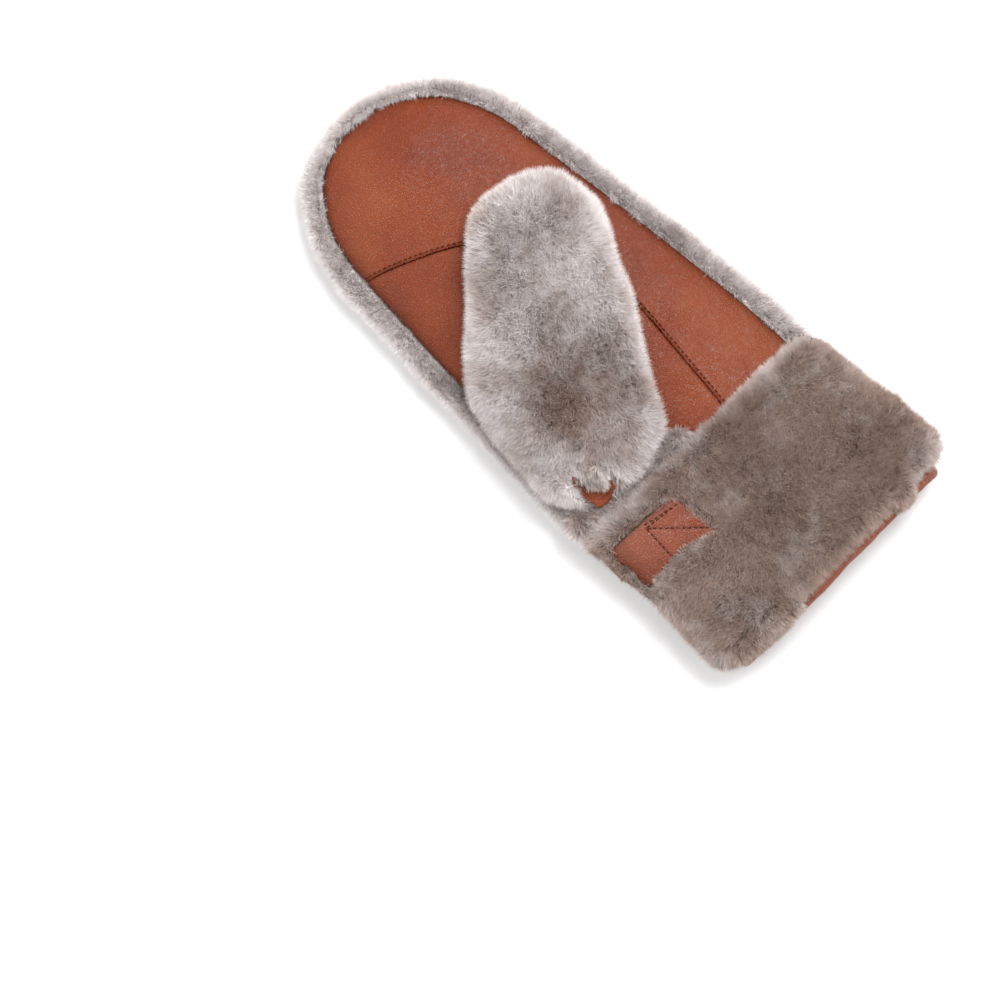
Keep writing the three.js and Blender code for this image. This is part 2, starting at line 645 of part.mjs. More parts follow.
// Materials
const fur = new THREE.MeshStandardMaterial({ color: 0x9a8f88, roughness: 0.95, metalness: 0 });
const leather = new THREE.MeshStandardMaterial({ color: 0x9b5032, roughness: 0.5, metalness: 0 });
const lining = new THREE.MeshStandardMaterial({ color: 0x6b2f1e, roughness: 0.6, metalness: 0 });
const metal = new THREE.MeshStandardMaterial({ color: 0xb9bbbd, roughness: 0.15, metalness: 1 });
const MATERIALS = {
  back_fur: fur,
  thumb_fur: fur,
  cuff_fur: fur,
  mouth_facing: lining,
  snap_cap: metal,
};

// Stand the mitten on z = 0 with the origin under its middle.
const mitten = new THREE.Group();
for (const [name, solid] of Object.entries(solids)) {
  const mesh = new THREE.Mesh(geometryOf(solid), MATERIALS[name] ?? leather);
  mesh.name = name;
  mitten.add(mesh);
}
const bounds = new THREE.Box3().setFromObject(mitten);
const centre = bounds.getCenter(new THREE.Vector3());
mitten.position.set(-centre.x, -centre.y, -bounds.min.z);

const part = new THREE.Group();
part.add(mitten);

export default part;
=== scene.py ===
"""Fur mitten for the left hand, lying palm up: leather, stitching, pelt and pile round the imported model."""

import math

import bmesh
import bpy
import numpy as np
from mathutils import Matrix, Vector, noise
from mathutils.bvhtree import BVHTree


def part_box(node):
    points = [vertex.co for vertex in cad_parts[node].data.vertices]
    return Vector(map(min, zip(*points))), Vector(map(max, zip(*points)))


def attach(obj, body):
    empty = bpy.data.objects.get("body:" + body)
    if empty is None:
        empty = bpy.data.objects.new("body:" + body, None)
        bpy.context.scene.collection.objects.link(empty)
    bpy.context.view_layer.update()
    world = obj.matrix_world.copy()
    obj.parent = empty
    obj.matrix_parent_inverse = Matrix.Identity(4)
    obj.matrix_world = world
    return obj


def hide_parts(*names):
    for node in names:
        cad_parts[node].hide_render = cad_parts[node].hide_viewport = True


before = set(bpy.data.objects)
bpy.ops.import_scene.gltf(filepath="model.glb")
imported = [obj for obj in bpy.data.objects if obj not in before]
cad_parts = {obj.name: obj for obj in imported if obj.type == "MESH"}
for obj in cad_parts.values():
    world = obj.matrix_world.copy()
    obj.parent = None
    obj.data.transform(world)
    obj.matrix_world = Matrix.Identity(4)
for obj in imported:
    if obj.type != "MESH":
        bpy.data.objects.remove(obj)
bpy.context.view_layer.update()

MM = 0.001
DOWN = Vector((0, 0, -1))
LEATHER_NODES = ("palm_panel", "thumb_panel")
FUR_NODES = ("back_fur", "thumb_fur", "cuff_fur")
STRAP_NODES = ("back_strap", "counter_tab", "snap_cap")

# Palm leather
PALM_COLUMNS, PALM_ROWS = 90, 150
TIP_CROWDING = 1.5  # how much closer the rows lie at the tip
PALM_SMOOTHING = 12
PALM_THICKNESS = 1.3 * MM
LEATHER_EDGE = math.radians(50)  # sharper edges are rounded
PALM_EDGE_ROLL = 3.2 * MM  # how far in the leather curves down to its seam
PALM_EDGE_DROP = 1.1 * MM
PALM_EDGE_SHADE = 2.4 * MM  # how far in the painted shade along its edge reaches
PALM_BEVEL = 0.4 * MM
SEAM_RIDGE = 0.55 * MM  # lapped edge along the panels' seam
SEAM_RIDGE_AT = 1.9 * MM
SEAM_RIDGE_WIDTH = 1.3 * MM
SEAM_DIP = 0.8 * MM
SEAM_DIP_WIDTH = 0.9 * MM
# width of the painted shade in the seam's groove
SEAM_SHADE = 0.5 * MM
SEAM_ROW_AT = 1.6 * MM  # from the seam to its row of stitches
WAVE = 0.45 * MM  # soft unevenness of worn leather

# Pelt and pile; a dictionary holds a value for each fur node
PELT_STEP = 2.2 * MM
PELT_DEPTHS = {"back_fur": 3.8 * MM, "thumb_fur": 5.4 * MM, "cuff_fur": 4.2 * MM}  # skin below the tips
PELT_SHARES = {"back_fur": 0.38, "thumb_fur": 0.62, "cuff_fur": 0.45}  # most of a wall that it may give up
HAIR_LENGTH = 6.2 * MM
HAIR_WIDTH = 0.34 * MM
SHORTEST, LONGEST = 0.72, 1.12  # of the hairs, as shares of that length
PROUD = {"back_fur": 0.4 * MM, "thumb_fur": 0.9 * MM, "cuff_fur": 0.6 * MM}  # more length where it leans
FLOOR_CLEARANCE = 0.15 * MM
SKY_REACH = 60 * MM  # a surface with no neighbour this near is open to the sky
BARE_OPENNESS = 0.1  # share of the sky seen where growth starts
OPENNESS_SPAN = 0.2  # and how much more of it gives full growth
RIM_FOOT = 11 * MM  # height under which the rim's painted light fades into the back's tone
RIM_TURN = 13 * MM  # height over which its fur is brushed up and outwards
SKIN_INSET = 0.3 * MM
SKIN_HEIGHT = 0.6 * MM  # least height over the floor
BESIDE_LEATHER = 3.4 * MM  # the back's hide is furred this near the palm leather
BELOW_LEATHER = 1.2 * MM  # and down to this far under it
BESIDE_STRAPS = 5 * MM  # and this near the strap, with less pile
STRAP_SIDE_PILE = 0.8
THICKEST_WALL = 20 * MM
SWIRLS = ((30.0, 2.2), (340.0, 2.1))  # scale and strength of the tufts' lean
STRAY = 0.55  # each hair's own lean
ATLAS_MARGIN = 0.12

# Piles: most hairs of each, and the height that parts the back's two
UNDER_HAIRS, RIM_HAIRS, THUMB_HAIRS, CUFF_HAIRS, LAP_HAIRS = 150000, 190000, 180000, 190000, 26000
UNDERSIDE = 6 * MM
UNDERSIDE_LENGTH = 0.9 * HAIR_LENGTH  # pressed flat

# Tones of the fur, more than 0 for browner
BROWN_SPOTS = (
    # x, y and reach in mm, and strength of the darker patches, less than 0 for lighter ones
    (-34, -14, 22, 0.82),
    (-24, 12, 14, 0.22),
    (29, -94, 26, 0.2),
    (-20, -118, 26, 0.15),
    (-62, -64, 12, -0.45),
    (-65, -147, 10, -0.35),
    (74, -141, 13, -0.35),
)
FRONT_LIGHTER = 0.35  # along the cuff's front
# the rim's lighter tone is painted light, for the light that fur turned sideways catches
CUFF_TONE, THUMB_TONE, RIM_LIT_TONE, BACK_TONE = 0.54, -0.22, -0.45, 0.05

# Fur that falls over edges, and the bit of leather that shows between
CUFF_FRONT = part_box("cuff_fur")[1].y
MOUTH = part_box("mouth_facing")
TUFT = (-51.5, -45)  # middle of the thumb's lower tuft, in mm
TUFT_REACH = 7 * MM
CRESCENT = (
    # outline in mm
    (-57.2, -37.0), (-59.9, -41.7), (-59.6, -48.4), (-58.2, -55.9), (-53.2, -57.2),
    (-45.6, -53.6), (-46.5, -49.0), (-51.0, -46.0), (-54.0, -42.0),
)
BOTTOMS = ("palm_panel", "thumb_panel", "back_fur")
LAPS = (
    # outline in mm, nodes that it lies on, least height, lift, lay, length of the pile and tone
    # between the thumb's base and the cuff
    (((-72, -62), (-73, -52), (-67, -49), (-61, -54), (-59.5, -57.5), (-53, -58.5), (-46, -56), (-43, -52),
      (-18, -50), (-8, -53.5), (-6, -56), (-8, -62)),
     BOTTOMS, 0.0, 5.5 * MM, (0.0, -0.2, 0.5), 7 * MM, 0.1),
    # tuft over the leather at the thumb's base
    (((-55.0, -38.0), (-51.5, -37.5), (-46.5, -40.0), (-45.0, -46.0), (-46.5, -50.5), (-51.5, -48.5),
      (-55.0, -44.0)),
     ("thumb_fur",), 38.5 * MM, 0.3 * MM, (-0.4, -0.9, 0.2), 5.4 * MM, -0.1),
    # over the tab's lower edge
    (((-64.0, -100.6), (-61.0, -96.6), (-54.0, -95.4), (-48.5, -94.0), (-41.5, -94.2), (-34.7, -96.3),
      (-28.0, -98.4), (-26.0, -102.0), (-33.7, -104.0), (-51.8, -104.6), (-61.9, -105.1)),
     ("palm_tab", "cuff_fur"), 0.0, 0.3 * MM, (-0.1, 0.45, 0.4), 3.8 * MM, 0.6),
    # over the tab's inner end
    (((-70.0, -69.8), (-65.6, -71.3), (-66.4, -76.4), (-65.8, -87.2), (-64.6, -99.6), (-64.9, -104.1),
      (-68.5, -101.5), (-70.5, -88.6), (-71.5, -76.2)),
     ("palm_tab", "cuff_fur", "back_fur"), 24 * MM, 0.3 * MM, (0.1, -0.1, 0.6), 3.8 * MM, 0.5),
    # over the binding, at its hidden end and beside its visible one
    (((-19.0, -146.0), (-20.5, -150.6), (-43.9, -151.4), (-57.5, -150.2), (-60.0, -145.5), (-42.9, -145.0)),
     ("cuff_binding", "cuff_fur"), 20 * MM, 1.0 * MM, (0.0, -1.0, 0.3), 4.6 * MM, 0.5),
    (((52.5, -140.0), (41.0, -141.0), (39.5, -146.6), (45.5, -147.8), (51.5, -146.6)),
     ("cuff_binding", "cuff_fur"), 20 * MM, 0.8 * MM, (0.0, -1.0, 0.3), 4.6 * MM, 0.55),
)
LAP_SINK = 2.4 * MM  # how far a lap's rim goes down into the fur round it
LAP_BORDER = 0.35  # growth along that rim
LAP_BORDER_LENGTH = 0.55  # and the length of its pile, as a share
LAP_SKIN = 1.0 * MM
CRESCENT_SINK = 1.2 * MM

# Straps and tabs
STRAP_LEATHER = 2 * MM
STRAP_CORNER = 2.5 * MM
STRAP_BEVEL = 0.45 * MM
STRAP_WAVE = 0.3 * MM
COUNTER_LEATHER = 1.6 * MM
ROW_INSET = 3.4 * MM  # from the strap's side to its row of stitches
ROW_GROOVE = 0.3 * MM
ROW_GROOVE_WIDTH = 0.7 * MM
TAB_CROSS = 23.5 * MM  # from the tab's inner end to its cross seam
TAB_BEVEL = 0.5 * MM
TAB_GROOVE = 0.35 * MM
TAB_WAVE = 0.45 * MM
BINDING_END = (64.5 * MM, -146 * MM)
SNAP_CAP_DEPTH = 2.5 * MM
SNAP_POST = 2.2 * MM
SNAP_PROFILE = (
    # from the cap's middle out, as shares of its radius and of its depth
    (0.0, 0.0), (0.35, 0.03), (0.6, 0.12), (0.8, 0.32), (0.88, 0.46),
    (0.905, 0.44), (0.95, 0.4), (0.99, 0.5), (1.0, 0.72), (0.985, 1.0),
)
STITCH_PITCH = 2.6 * MM
STITCH_LENGTH = 2.1 * MM
STITCH_THICKNESS = 0.7 * MM

# The photograph's frame: an overhead view, turned so that the fingertips point up and left
VIEW_CENTRE = (-88.1 * MM, -22.95 * MM)
VIEW_WIDTH = 449 * MM
VIEW_TURN = math.radians(-42.5)
CAMERA_HEIGHT = 1.7
OBJECT_HEIGHT = 28 * MM
SENSOR = 36
FLOOR_LEVEL = -0.2 * MM
BACKDROP = 0.72
LAMPS = (
    # name, place and width in m, and power in W
    ("softbox", (0.78, 0.22, 1.3), 0.9, 18.5),
    ("key", (0.36, 0.1, 1.4), 0.3, 5),
    ("fill", (-0.9, 0.6, 1.3), 1.3, 9),
)


def add(tree, kind, inputs=(), **settings):
    """Adds a node; inputs are numbers, colours or the outputs of other nodes."""
    node = tree.nodes.new(kind)
    for key, value in settings.items():
        setattr(node, key, value)
    return feed(tree, node, inputs)


def feed(tree, node, inputs):
    """Sets a node's inputs to numbers, colours or the outputs of other nodes."""
    for socket, value in dict(inputs).items():
        if isinstance(value, bpy.types.NodeSocket):
            tree.links.new(value, node.inputs[socket])
        else:
            node.inputs[socket].default_value = value
    return node


def bump(tree, height, strength, distance):
    """Normal that a height gives."""
    inputs = {"Height": height, "Strength": strength, "Distance": distance}
    return add(tree, "ShaderNodeBump", inputs).outputs["Normal"]


def ramp(tree, factor, stops):
    """Colour ramp from (position, colour) stops."""
    node = add(tree, "ShaderNodeValToRGB", {"Fac": factor})
    elements = node.color_ramp.elements
    while len(elements) < len(stops):
        elements.new(1)
    for element, (position, colour) in zip(elements, stops):
        element.position = position
        element.color = (*colour, 1)
    return node.outputs["Color"]


def value_range(tree, value, low, high, to_low=0.0, to_high=1.0):
    """Maps a value from one range to another, smoothly."""
    limits = {"Value": value, "From Min": low, "From Max": high, "To Min": to_low, "To Max": to_high}
    return add(tree, "ShaderNodeMapRange", limits, interpolation_type="SMOOTHSTEP").outputs["Result"]


def noise_value(tree, place, scale, detail=3.0, rough=0.55):
    """Value of a noise texture at a place."""
    inputs = {"Vector": place, "Scale": scale, "Detail": detail, "Roughness": rough}
    return add(tree, "ShaderNodeTexNoise", inputs).outputs["Fac"]


def swirl(tree, place, scale):
    """Colour of a noise texture at a place, for use as a direction."""
    inputs = {"Vector": place, "Scale": scale, "Detail": 1.0}
    return add(tree, "ShaderNodeTexNoise", inputs).outputs["Color"]


def mixed(tree, factor, first, second, blend="MIX"):
    """Colour mix of two colours."""
    node = tree.nodes.new("ShaderNodeMix")
    node.data_type = "RGBA"
    node.blend_type = blend
    for socket, value in ((0, factor), (6, first), (7, second)):
        if isinstance(value, bpy.types.NodeSocket):
            tree.links.new(value, node.inputs[socket])
        elif socket == 0:
            node.inputs[socket].default_value = value
        else:
            node.inputs[socket].default_value = (*value, 1)
    return node.outputs[2]


def math_node(tree, operation, first, second=0.0):
    """Result of one sum."""
    return add(tree, "ShaderNodeMath", {0: first, 1: second}, operation=operation).outputs[0]


def vector_math(tree, operation, first, second=None, scale=None):
    """Result of one vector sum."""
    inputs = {0: first}
    if second is not None:
        inputs[1] = second
    if scale is not None:
        inputs["Scale"] = scale
    return add(tree, "ShaderNodeVectorMath", inputs, operation=operation).outputs[0]


def value_to_grey(tree, value):
    """Grey colour of a value."""
    return add(tree, "ShaderNodeCombineColor", {0: value, 1: value, 2: value}).outputs[0]


def new_finish(name):
    """Empty material, with its tree, its Principled shader and the Object coordinates."""
    material = bpy.data.materials.new(name)
    material.use_nodes = True
    tree = material.node_tree
    shader = tree.nodes["Principled BSDF"]
    place = add(tree, "ShaderNodeTexCoord").outputs["Object"]
    return material, tree, shader, place


def attribute(tree, name):
    """Value that the mesh holds under a name."""
    return add(tree, "ShaderNodeAttribute", attribute_name=name).outputs["Fac"]


def leather_finish(name, deep, main, worn, grain=900.0, gloss=(0.28, 0.42), shine=0.34):
    """Grained leather, lighter where it is worn, with painted shade in the furrows of its grain and along its
    edges, seams and stitch rows.
    """
    material, tree, shader, place = new_finish(name)
    patches = noise_value(tree, place, 24.0, 4.0)
    colour = ramp(tree, patches, ((0.25, deep), (0.5, main), (0.78, worn)))
    bent = swirl(tree, place, 1.3 * grain)
    bent = vector_math(tree, "ADD", place, vector_math(tree, "SCALE", bent, scale=0.75 / grain))
    cells = add(tree, "ShaderNodeTexVoronoi", {"Vector": bent, "Scale": grain}, feature="DISTANCE_TO_EDGE")
    pebble = value_range(tree, cells.outputs["Distance"], 0.0, 0.42)
    fine = noise_value(tree, place, 2.4 * grain, 2.0)
    # painted shade in the furrows of the grain
    furrow_shade = value_range(tree, pebble, 0.0, 0.45, 0.68, 1.0)
    colour = mixed(tree, 1.0, colour, value_to_grey(tree, furrow_shade), "MULTIPLY")
    # painted shade: darker where edge is high, along the edges, seams and stitch rows
    edge = attribute(tree, "edge")
    colour = mixed(tree, math_node(tree, "MULTIPLY", edge, 0.72), colour, tuple(0.36 * c for c in deep))
    rough = value_range(tree, noise_value(tree, place, 90.0), 0.3, 0.7, *gloss)
    height = math_node(tree, "ADD", pebble, math_node(tree, "MULTIPLY", fine, 0.35))
    wrinkles = math_node(tree, "MULTIPLY", noise_value(tree, place, 260.0, 3.0), 1.6)
    normal = bump(tree, math_node(tree, "ADD", height, wrinkles), 1.0, 0.28 * MM)
    feed(tree, shader, {"Base Color": colour, "Roughness": rough, "Normal": normal})
    feed(tree, shader, {"Specular IOR Level": shine, "Coat Weight": 0.04, "Coat Roughness": 0.3})
    return material


def fur_colour(tree, place, tip):
    """Colour of the pile: dark roots, light tips and soft brown patches, from tip 0 at the root to 1."""
    patch = noise_value(tree, place, 42.0, 2.0, 0.5)
    small = noise_value(tree, place, 170.0, 2.0, 0.5)
    patch, small = math_node(tree, "MULTIPLY", patch, 0.7), math_node(tree, "MULTIPLY", small, 0.3)
    spots = value_range(tree, math_node(tree, "ADD", patch, small), 0.3, 0.7, 0.0, 0.75)
    brown = math_node(tree, "ADD", spots, attribute(tree, "brown"))
    brown = math_node(tree, "MINIMUM", math_node(tree, "MAXIMUM", brown, 0.0), 1.0)
    pale = ((0.0, (0.7, 0.62, 0.595)), (0.45, (0.92, 0.86, 0.845)), (1.0, (0.985, 0.95, 0.945)))
    deep = ((0.0, (0.19, 0.112, 0.086)), (0.5, (0.44, 0.305, 0.25)), (1.0, (0.68, 0.53, 0.46)))
    light, dark = ramp(tree, tip, pale), ramp(tree, tip, deep)
    return mixed(tree, brown, light, dark)


def pile_finish():
    """Hairs of the pile."""
    material, tree, shader, place = new_finish("pile")
    tip = attribute(tree, "tip")
    colour = fur_colour(tree, place, tip)
    shade = value_to_grey(tree, value_range(tree, attribute(tree, "shade"), 0.0, 1.0, 0.78, 1.0))
    colour = mixed(tree, 1.0, colour, shade, "MULTIPLY")
    rough = value_range(tree, tip, 0.0, 1.0, 0.9, 0.62)
    feed(tree, shader, {"Base Color": colour, "Roughness": rough, "Specular IOR Level": 0.3})
    sheen = {"Sheen Weight": 0.2, "Sheen Roughness": 0.45, "Sheen Tint": (1.0, 0.9, 0.85, 1)}
    feed(tree, shader, sheen)
    return material


def pelt_finish():
    """Underfur where the pile grows, and dark suede where it grows little: on the inside of the hide, and as
    painted shade in crevices and along edges.
    """
    material, tree, shader, place = new_finish("pelt")
    curl = noise_value(tree, place, 900.0, 3.0, 0.7)
    underfur = fur_colour(tree, place, value_range(tree, curl, 0.3, 0.7, 0.3, 0.75))
    nap = noise_value(tree, place, 420.0, 4.0, 0.65)
    # the suede colour is the hide's inside and also painted shade, set dark so that crevices read as shadow
    suede_and_shade = ramp(tree, nap, ((0.3, (0.075, 0.045, 0.032)), (0.7, (0.15, 0.095, 0.07))))
    outside = attribute(tree, "grow")
    # painted shade: the less the growth, the more of the dark suede colour
    colour = mixed(tree, value_range(tree, outside, 0.1, 0.75), suede_and_shade, underfur)
    rough = value_range(tree, curl, 0.3, 0.7, 0.82, 0.96)
    feed(tree, shader, {"Base Color": colour, "Roughness": rough, "Specular IOR Level": 0.15})
    feed(tree, shader, {"Normal": bump(tree, curl, 0.6, 0.5 * MM)})
    return material


def thread_finish():
    """Twisted sewing thread."""
    material, tree, shader, place = new_finish("thread")
    strands = noise_value(tree, place, 2600.0, 2.0)
    colour = ramp(tree, strands, ((0.35, (0.025, 0.005, 0.002)), (0.65, (0.085, 0.018, 0.006))))
    rough = value_range(tree, strands, 0.3, 0.7, 0.6, 0.85)
    feed(tree, shader, {"Base Color": colour, "Roughness": rough, "Specular IOR Level": 0.12})
    feed(tree, shader, {"Normal": bump(tree, strands, 0.5, 0.08 * MM)})
    return material


def metal_finish():
    """Polished nickel with faint rubbing."""
    material, tree, shader, place = new_finish("polished_metal")
    rub = noise_value(tree, place, 700.0, 4.0, 0.7)
    colour = ramp(tree, rub, ((0.3, (0.6, 0.6, 0.61)), (0.7, (0.68, 0.68, 0.68))))
    rough = value_range(tree, rub, 0.3, 0.75, 0.08, 0.13)
    feed(tree, shader, {"Base Color": colour, "Roughness": rough, "Metallic": 1.0})
    return material


PALM_TONES = (0.165, 0.023, 0.004), (0.24, 0.038, 0.006), (0.305, 0.064, 0.014)
TRIM_TONES = (0.17, 0.026, 0.007), (0.26, 0.048, 0.012), (0.33, 0.085, 0.03)
FACING_TONES = (0.1, 0.022, 0.012), (0.17, 0.04, 0.022), (0.23, 0.062, 0.034)
PALM_LEATHER = leather_finish("leather", *PALM_TONES)
TRIM_LEATHER = leather_finish("leather_trim", *TRIM_TONES, gloss=(0.25, 0.36), shine=0.6)
FACING_LEATHER = leather_finish("facing", *FACING_TONES, grain=1300.0, gloss=(0.34, 0.46))
PILE, PELT, THREAD, METAL = pile_finish(), pelt_finish(), thread_finish(), metal_finish()


def cad_bmesh(*nodes):
    """Copy of CAD nodes, with their loose triangles joined."""
    bm = bmesh.new()
    for node in nodes:
        bm.from_mesh(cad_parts[node].data)
    bmesh.ops.remove_doubles(bm, verts=bm.verts, dist=0.001 * MM)
    return bm


def cad_tree(*nodes):
    """CAD nodes as a tree that rays and distances are measured to."""
    bm = cad_bmesh(*nodes)
    tree = BVHTree.FromBMesh(bm)
    bm.free()
    return tree


def placed(name, data, place=(0, 0, 0)):
    """Object of a mesh, a camera or a lamp."""
    made = bpy.data.objects.new(name, data)
    bpy.context.scene.collection.objects.link(made)
    made.location = place
    return made


def object_of(name, bm, material):
    """Object with the bmesh as its mesh."""
    mesh = bpy.data.meshes.new(name)
    bm.to_mesh(mesh)
    bm.free()
    mesh.materials.append(material)
    return placed(name, mesh)


def seat(piece, slot, *nodes):
    """Sets a finished piece on the part's one body, for the CAD nodes that it stands for."""
    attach(piece, "root")
    if nodes:
        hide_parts(*nodes)
    return piece


def smooth(piece):
    """Shades a piece smoothly."""
    piece.data.shade_smooth()
    return piece


def finished(piece, *modifiers):
    """Adds modifiers, each a kind and its settings."""
    for kind, settings in modifiers:
        modifier = piece.modifiers.new(kind.lower(), kind)
        for key, value in settings.items():
            setattr(modifier, key, value)
    return piece


def baked(piece):
    """Makes what the modifiers give the piece's own mesh."""
    evaluated = piece.evaluated_get(bpy.context.evaluated_depsgraph_get())
    mesh = bpy.data.meshes.new_from_object(evaluated)
    piece.modifiers.clear()
    piece.data = mesh
    mesh.name = piece.name
    return piece


def thick_leather(piece, thickness, bevel, segments):
    """Gives a leather sheet its thickness, with rounded edges."""
    limit = {"limit_method": "ANGLE", "angle_limit": LEATHER_EDGE}
    finished(
        piece,
        ("SOLIDIFY", {"thickness": thickness, "offset": -1}),
        ("BEVEL", {"width": bevel, "segments": segments, **limit}),
    )
    return smooth(baked(piece))


def falloff(distance, width):
    """1 at no distance, and softly down to 0 past the width."""
    return math.exp(-((distance / width) ** 2))


def clamped(value):
    """Value held between 0 and 1."""
    return min(max(value, 0), 1)


def store(mesh, name, values):
    """Writes one number for each vertex."""
    layer = mesh.attributes.get(name) or mesh.attributes.new(name, "FLOAT", "POINT")
    layer.data.foreach_set("value", np.asarray(values, np.float32))


def store_ways(mesh, name, values):
    """Writes one direction for each vertex."""
    layer = mesh.attributes.new(name, "FLOAT_VECTOR", "POINT")
    layer.data.foreach_set("vector", np.asarray(values, np.float32).ravel())


# Palm leather

def outline_at(tree, y, low, high):
    """Left and right ends of the palm leather at y, by halving from where a ray down meets it."""
    hits = [x for x in np.arange(low, high, 2 * MM) if tree.ray_cast((x, y, 1), DOWN)[0]]
    ends = []
    for inside, step in ((hits[0], -2 * MM), (hits[-1], 2 * MM)):
        outside = inside + step
        for _ in range(9):
            middle = (inside + outside) / 2
            if tree.ray_cast((middle, y, 1), DOWN)[0]:
                inside = middle
            else:
                outside = middle
        ends.append(inside)
    return ends


def smoothed(grid, passes):
    """Evens out a grid of heights, keeping its outer rows."""
    for _ in range(passes):
        inner = grid[:-2, 1:-1] + grid[2:, 1:-1] + grid[1:-1, :-2] + grid[1:-1, 2:]
        grid[1:-1, 1:-1] = 0.5 * grid[1:-1, 1:-1] + 0.125 * inner
    return grid


def palm_grid():
    """Places of the palm's grid in rows from the cuff to the tip, over both panels."""
    whole = cad_tree(*LEATHER_NODES)
    boxes = [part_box(node) for node in LEATHER_NODES]
    low = Vector(map(min, *(box[0] for box in boxes)))
    high = Vector(map(max, *(box[1] for box in boxes)))
    places = np.zeros((PALM_ROWS + 1, PALM_COLUMNS + 1, 3))
    for i in range(PALM_ROWS + 1):
        share = 1 - (1 - i / PALM_ROWS) ** TIP_CROWDING
        y = low.y + 0.05 * MM + (high.y - low.y - 0.12 * MM) * share
        left, right = outline_at(whole, y, low.x, high.x)
        for j in range(PALM_COLUMNS + 1):
            x = left + (right - left) * (j / PALM_COLUMNS)
            hit = whole.ray_cast((x, y, 1), DOWN)[0]
            places[i, j] = x, y, hit.z if hit else np.nan
    for row in places[:, :, 2]:
        known = ~np.isnan(row)
        row[:] = np.interp(np.arange(len(row)), np.flatnonzero(known), row[known])
    places[:, :, 2] = smoothed(places[:, :, 2], PALM_SMOOTHING)
    return places


def palm_panel(node, other, grid, lapped):
    """One panel of the palm: the grid's faces on its side, drawn in to its own outline."""
    own, far = cad_tree(node), cad_tree(other)
    bm = bmesh.new()
    bmesh.ops.create_grid(bm, x_segments=PALM_COLUMNS, y_segments=PALM_ROWS, size=1)
    edge = bm.verts.layers.float.new("edge")
    bm.verts.ensure_lookup_table()
    order = sorted(bm.verts, key=lambda v: (round(v.co.y, 5), round(v.co.x, 5)))
    outside = set()
    for k, vert in enumerate(order):
        row, column = divmod(k, PALM_COLUMNS + 1)
        place = Vector(grid[row, column])
        x, (left, right) = grid[row, column, 0], grid[row, [0, -1], 0]
        sides = x - left, right - x
        rim = max(min(*sides, grid[-1, 0, 1] - place.y), 0)
        if not own.ray_cast((place.x, place.y, 1), DOWN)[0]:
            outside.add(vert)
            near = own.find_nearest(place)[0]
            place.x, place.y = near.x, near.y
        seam = far.find_nearest(place)[3]
        lift = WAVE * noise.noise(place * 42) + 0.5 * WAVE * noise.noise(place * 95)
        lift -= PALM_EDGE_DROP * (1 - min(rim / PALM_EDGE_ROLL, 1)) ** 2
        if lapped:
            lift += SEAM_RIDGE * falloff(seam - SEAM_RIDGE_AT, SEAM_RIDGE_WIDTH)
        lift -= SEAM_DIP * math.exp(-seam / SEAM_DIP_WIDTH)
        place.z += lift
        vert.co = place
        # painted shade along the rim, where the leather rolls down under the fur, and in the seam's groove
        vert[edge] = max(math.exp(-rim / PALM_EDGE_SHADE), 0.9 * math.exp(-seam / SEAM_SHADE))
    gone = [f for f in bm.faces if sum(v in outside for v in f.verts) > 2]
    bmesh.ops.delete(bm, geom=gone, context="FACES")
    bmesh.ops.recalc_face_normals(bm, faces=bm.faces)
    if sum(f.normal.z for f in bm.faces) < 0:
        bmesh.ops.reverse_faces(bm, faces=bm.faces)
    piece = object_of("leather_" + node, bm, PALM_LEATHER)
    return seat(thick_leather(piece, PALM_THICKNESS, PALM_BEVEL, 2), "leather", node)


# Stitching

def along_path(points, pitch):
    """Evenly spaced places and directions along a path."""
    points = np.array(points, float)
    steps = np.linalg.norm(np.diff(points, axis=0), axis=1)
    reach = np.concatenate(([0], np.cumsum(steps)))

    def at(distance):
        return Vector([np.interp(distance, reach, points[:, axis]) for axis in range(3)])

    spots = np.arange(pitch / 2, reach[-1], pitch)
    found = [(at(spot), at(spot + 0.3 * pitch) - at(spot)) for spot in spots]
    return [(place, way) for place, way in found if way.length > 1e-7]


def stitches(name, rows, cast):
    """Rows of stitches laid on a surface; cast(x, y) gives the place and the way out of it."""
    bm = bmesh.new()
    for points in rows:
        on_face = [cast(*point)[0] for point in points]
        for place, way in along_path(on_face, STITCH_PITCH):
            hit, out = cast(place.x, place.y)
            way = (way - out * way.dot(out)).normalized()
            made = bmesh.ops.create_icosphere(bm, subdivisions=1, radius=0.5)["verts"]
            side = out.cross(way)
            for vert in made:
                x, y, z = vert.co
                vert.co = hit + way * x * STITCH_LENGTH + side * y * STITCH_THICKNESS
                vert.co += out * (z * STITCH_THICKNESS + 0.05 * MM)
    return seat(smooth(object_of(name, bm, THREAD)), "leather")


def caster(piece, way):
    """Function that gives the place and outward direction where a line along Z first meets a piece."""
    tree = BVHTree.FromObject(piece, bpy.context.evaluated_depsgraph_get())
    start = 1.0 if way < 0 else -1.0

    def cast(x, y):
        hit, normal = tree.ray_cast((x, y, start), Vector((0, 0, way)))[:2]
        if hit is None:
            hit, normal = tree.find_nearest((x, y, -0.2 * way))[:2]
        return hit, normal

    return cast


def panel_seam_row(offset):
    """The panels' seam, moved onto the lapped side."""
    bm = cad_bmesh("palm_panel")
    far = cad_tree("thumb_panel")
    seam = [v.co.copy() for v in bm.verts if far.find_nearest(v.co)[3] < 0.5 * MM]
    bm.free()
    seam = sorted(((p.x, p.y) for p in seam), key=lambda p: p[0] - p[1])
    spots = np.linspace(0, len(seam) - 1, 40)
    path = np.stack([np.interp(spots, range(len(seam)), [p[a] for p in seam]) for a in (0, 1)], 1)
    for _ in range(3):
        path[1:-1] = (path[:-2] + 2 * path[1:-1] + path[2:]) / 4
    way = np.gradient(path, axis=0)
    way /= np.linalg.norm(way, axis=1)[:, None]
    aside = np.stack([-way[:, 1], way[:, 0]], 1)
    return [tuple(p) for p in path + offset * aside]


# Straps and tabs

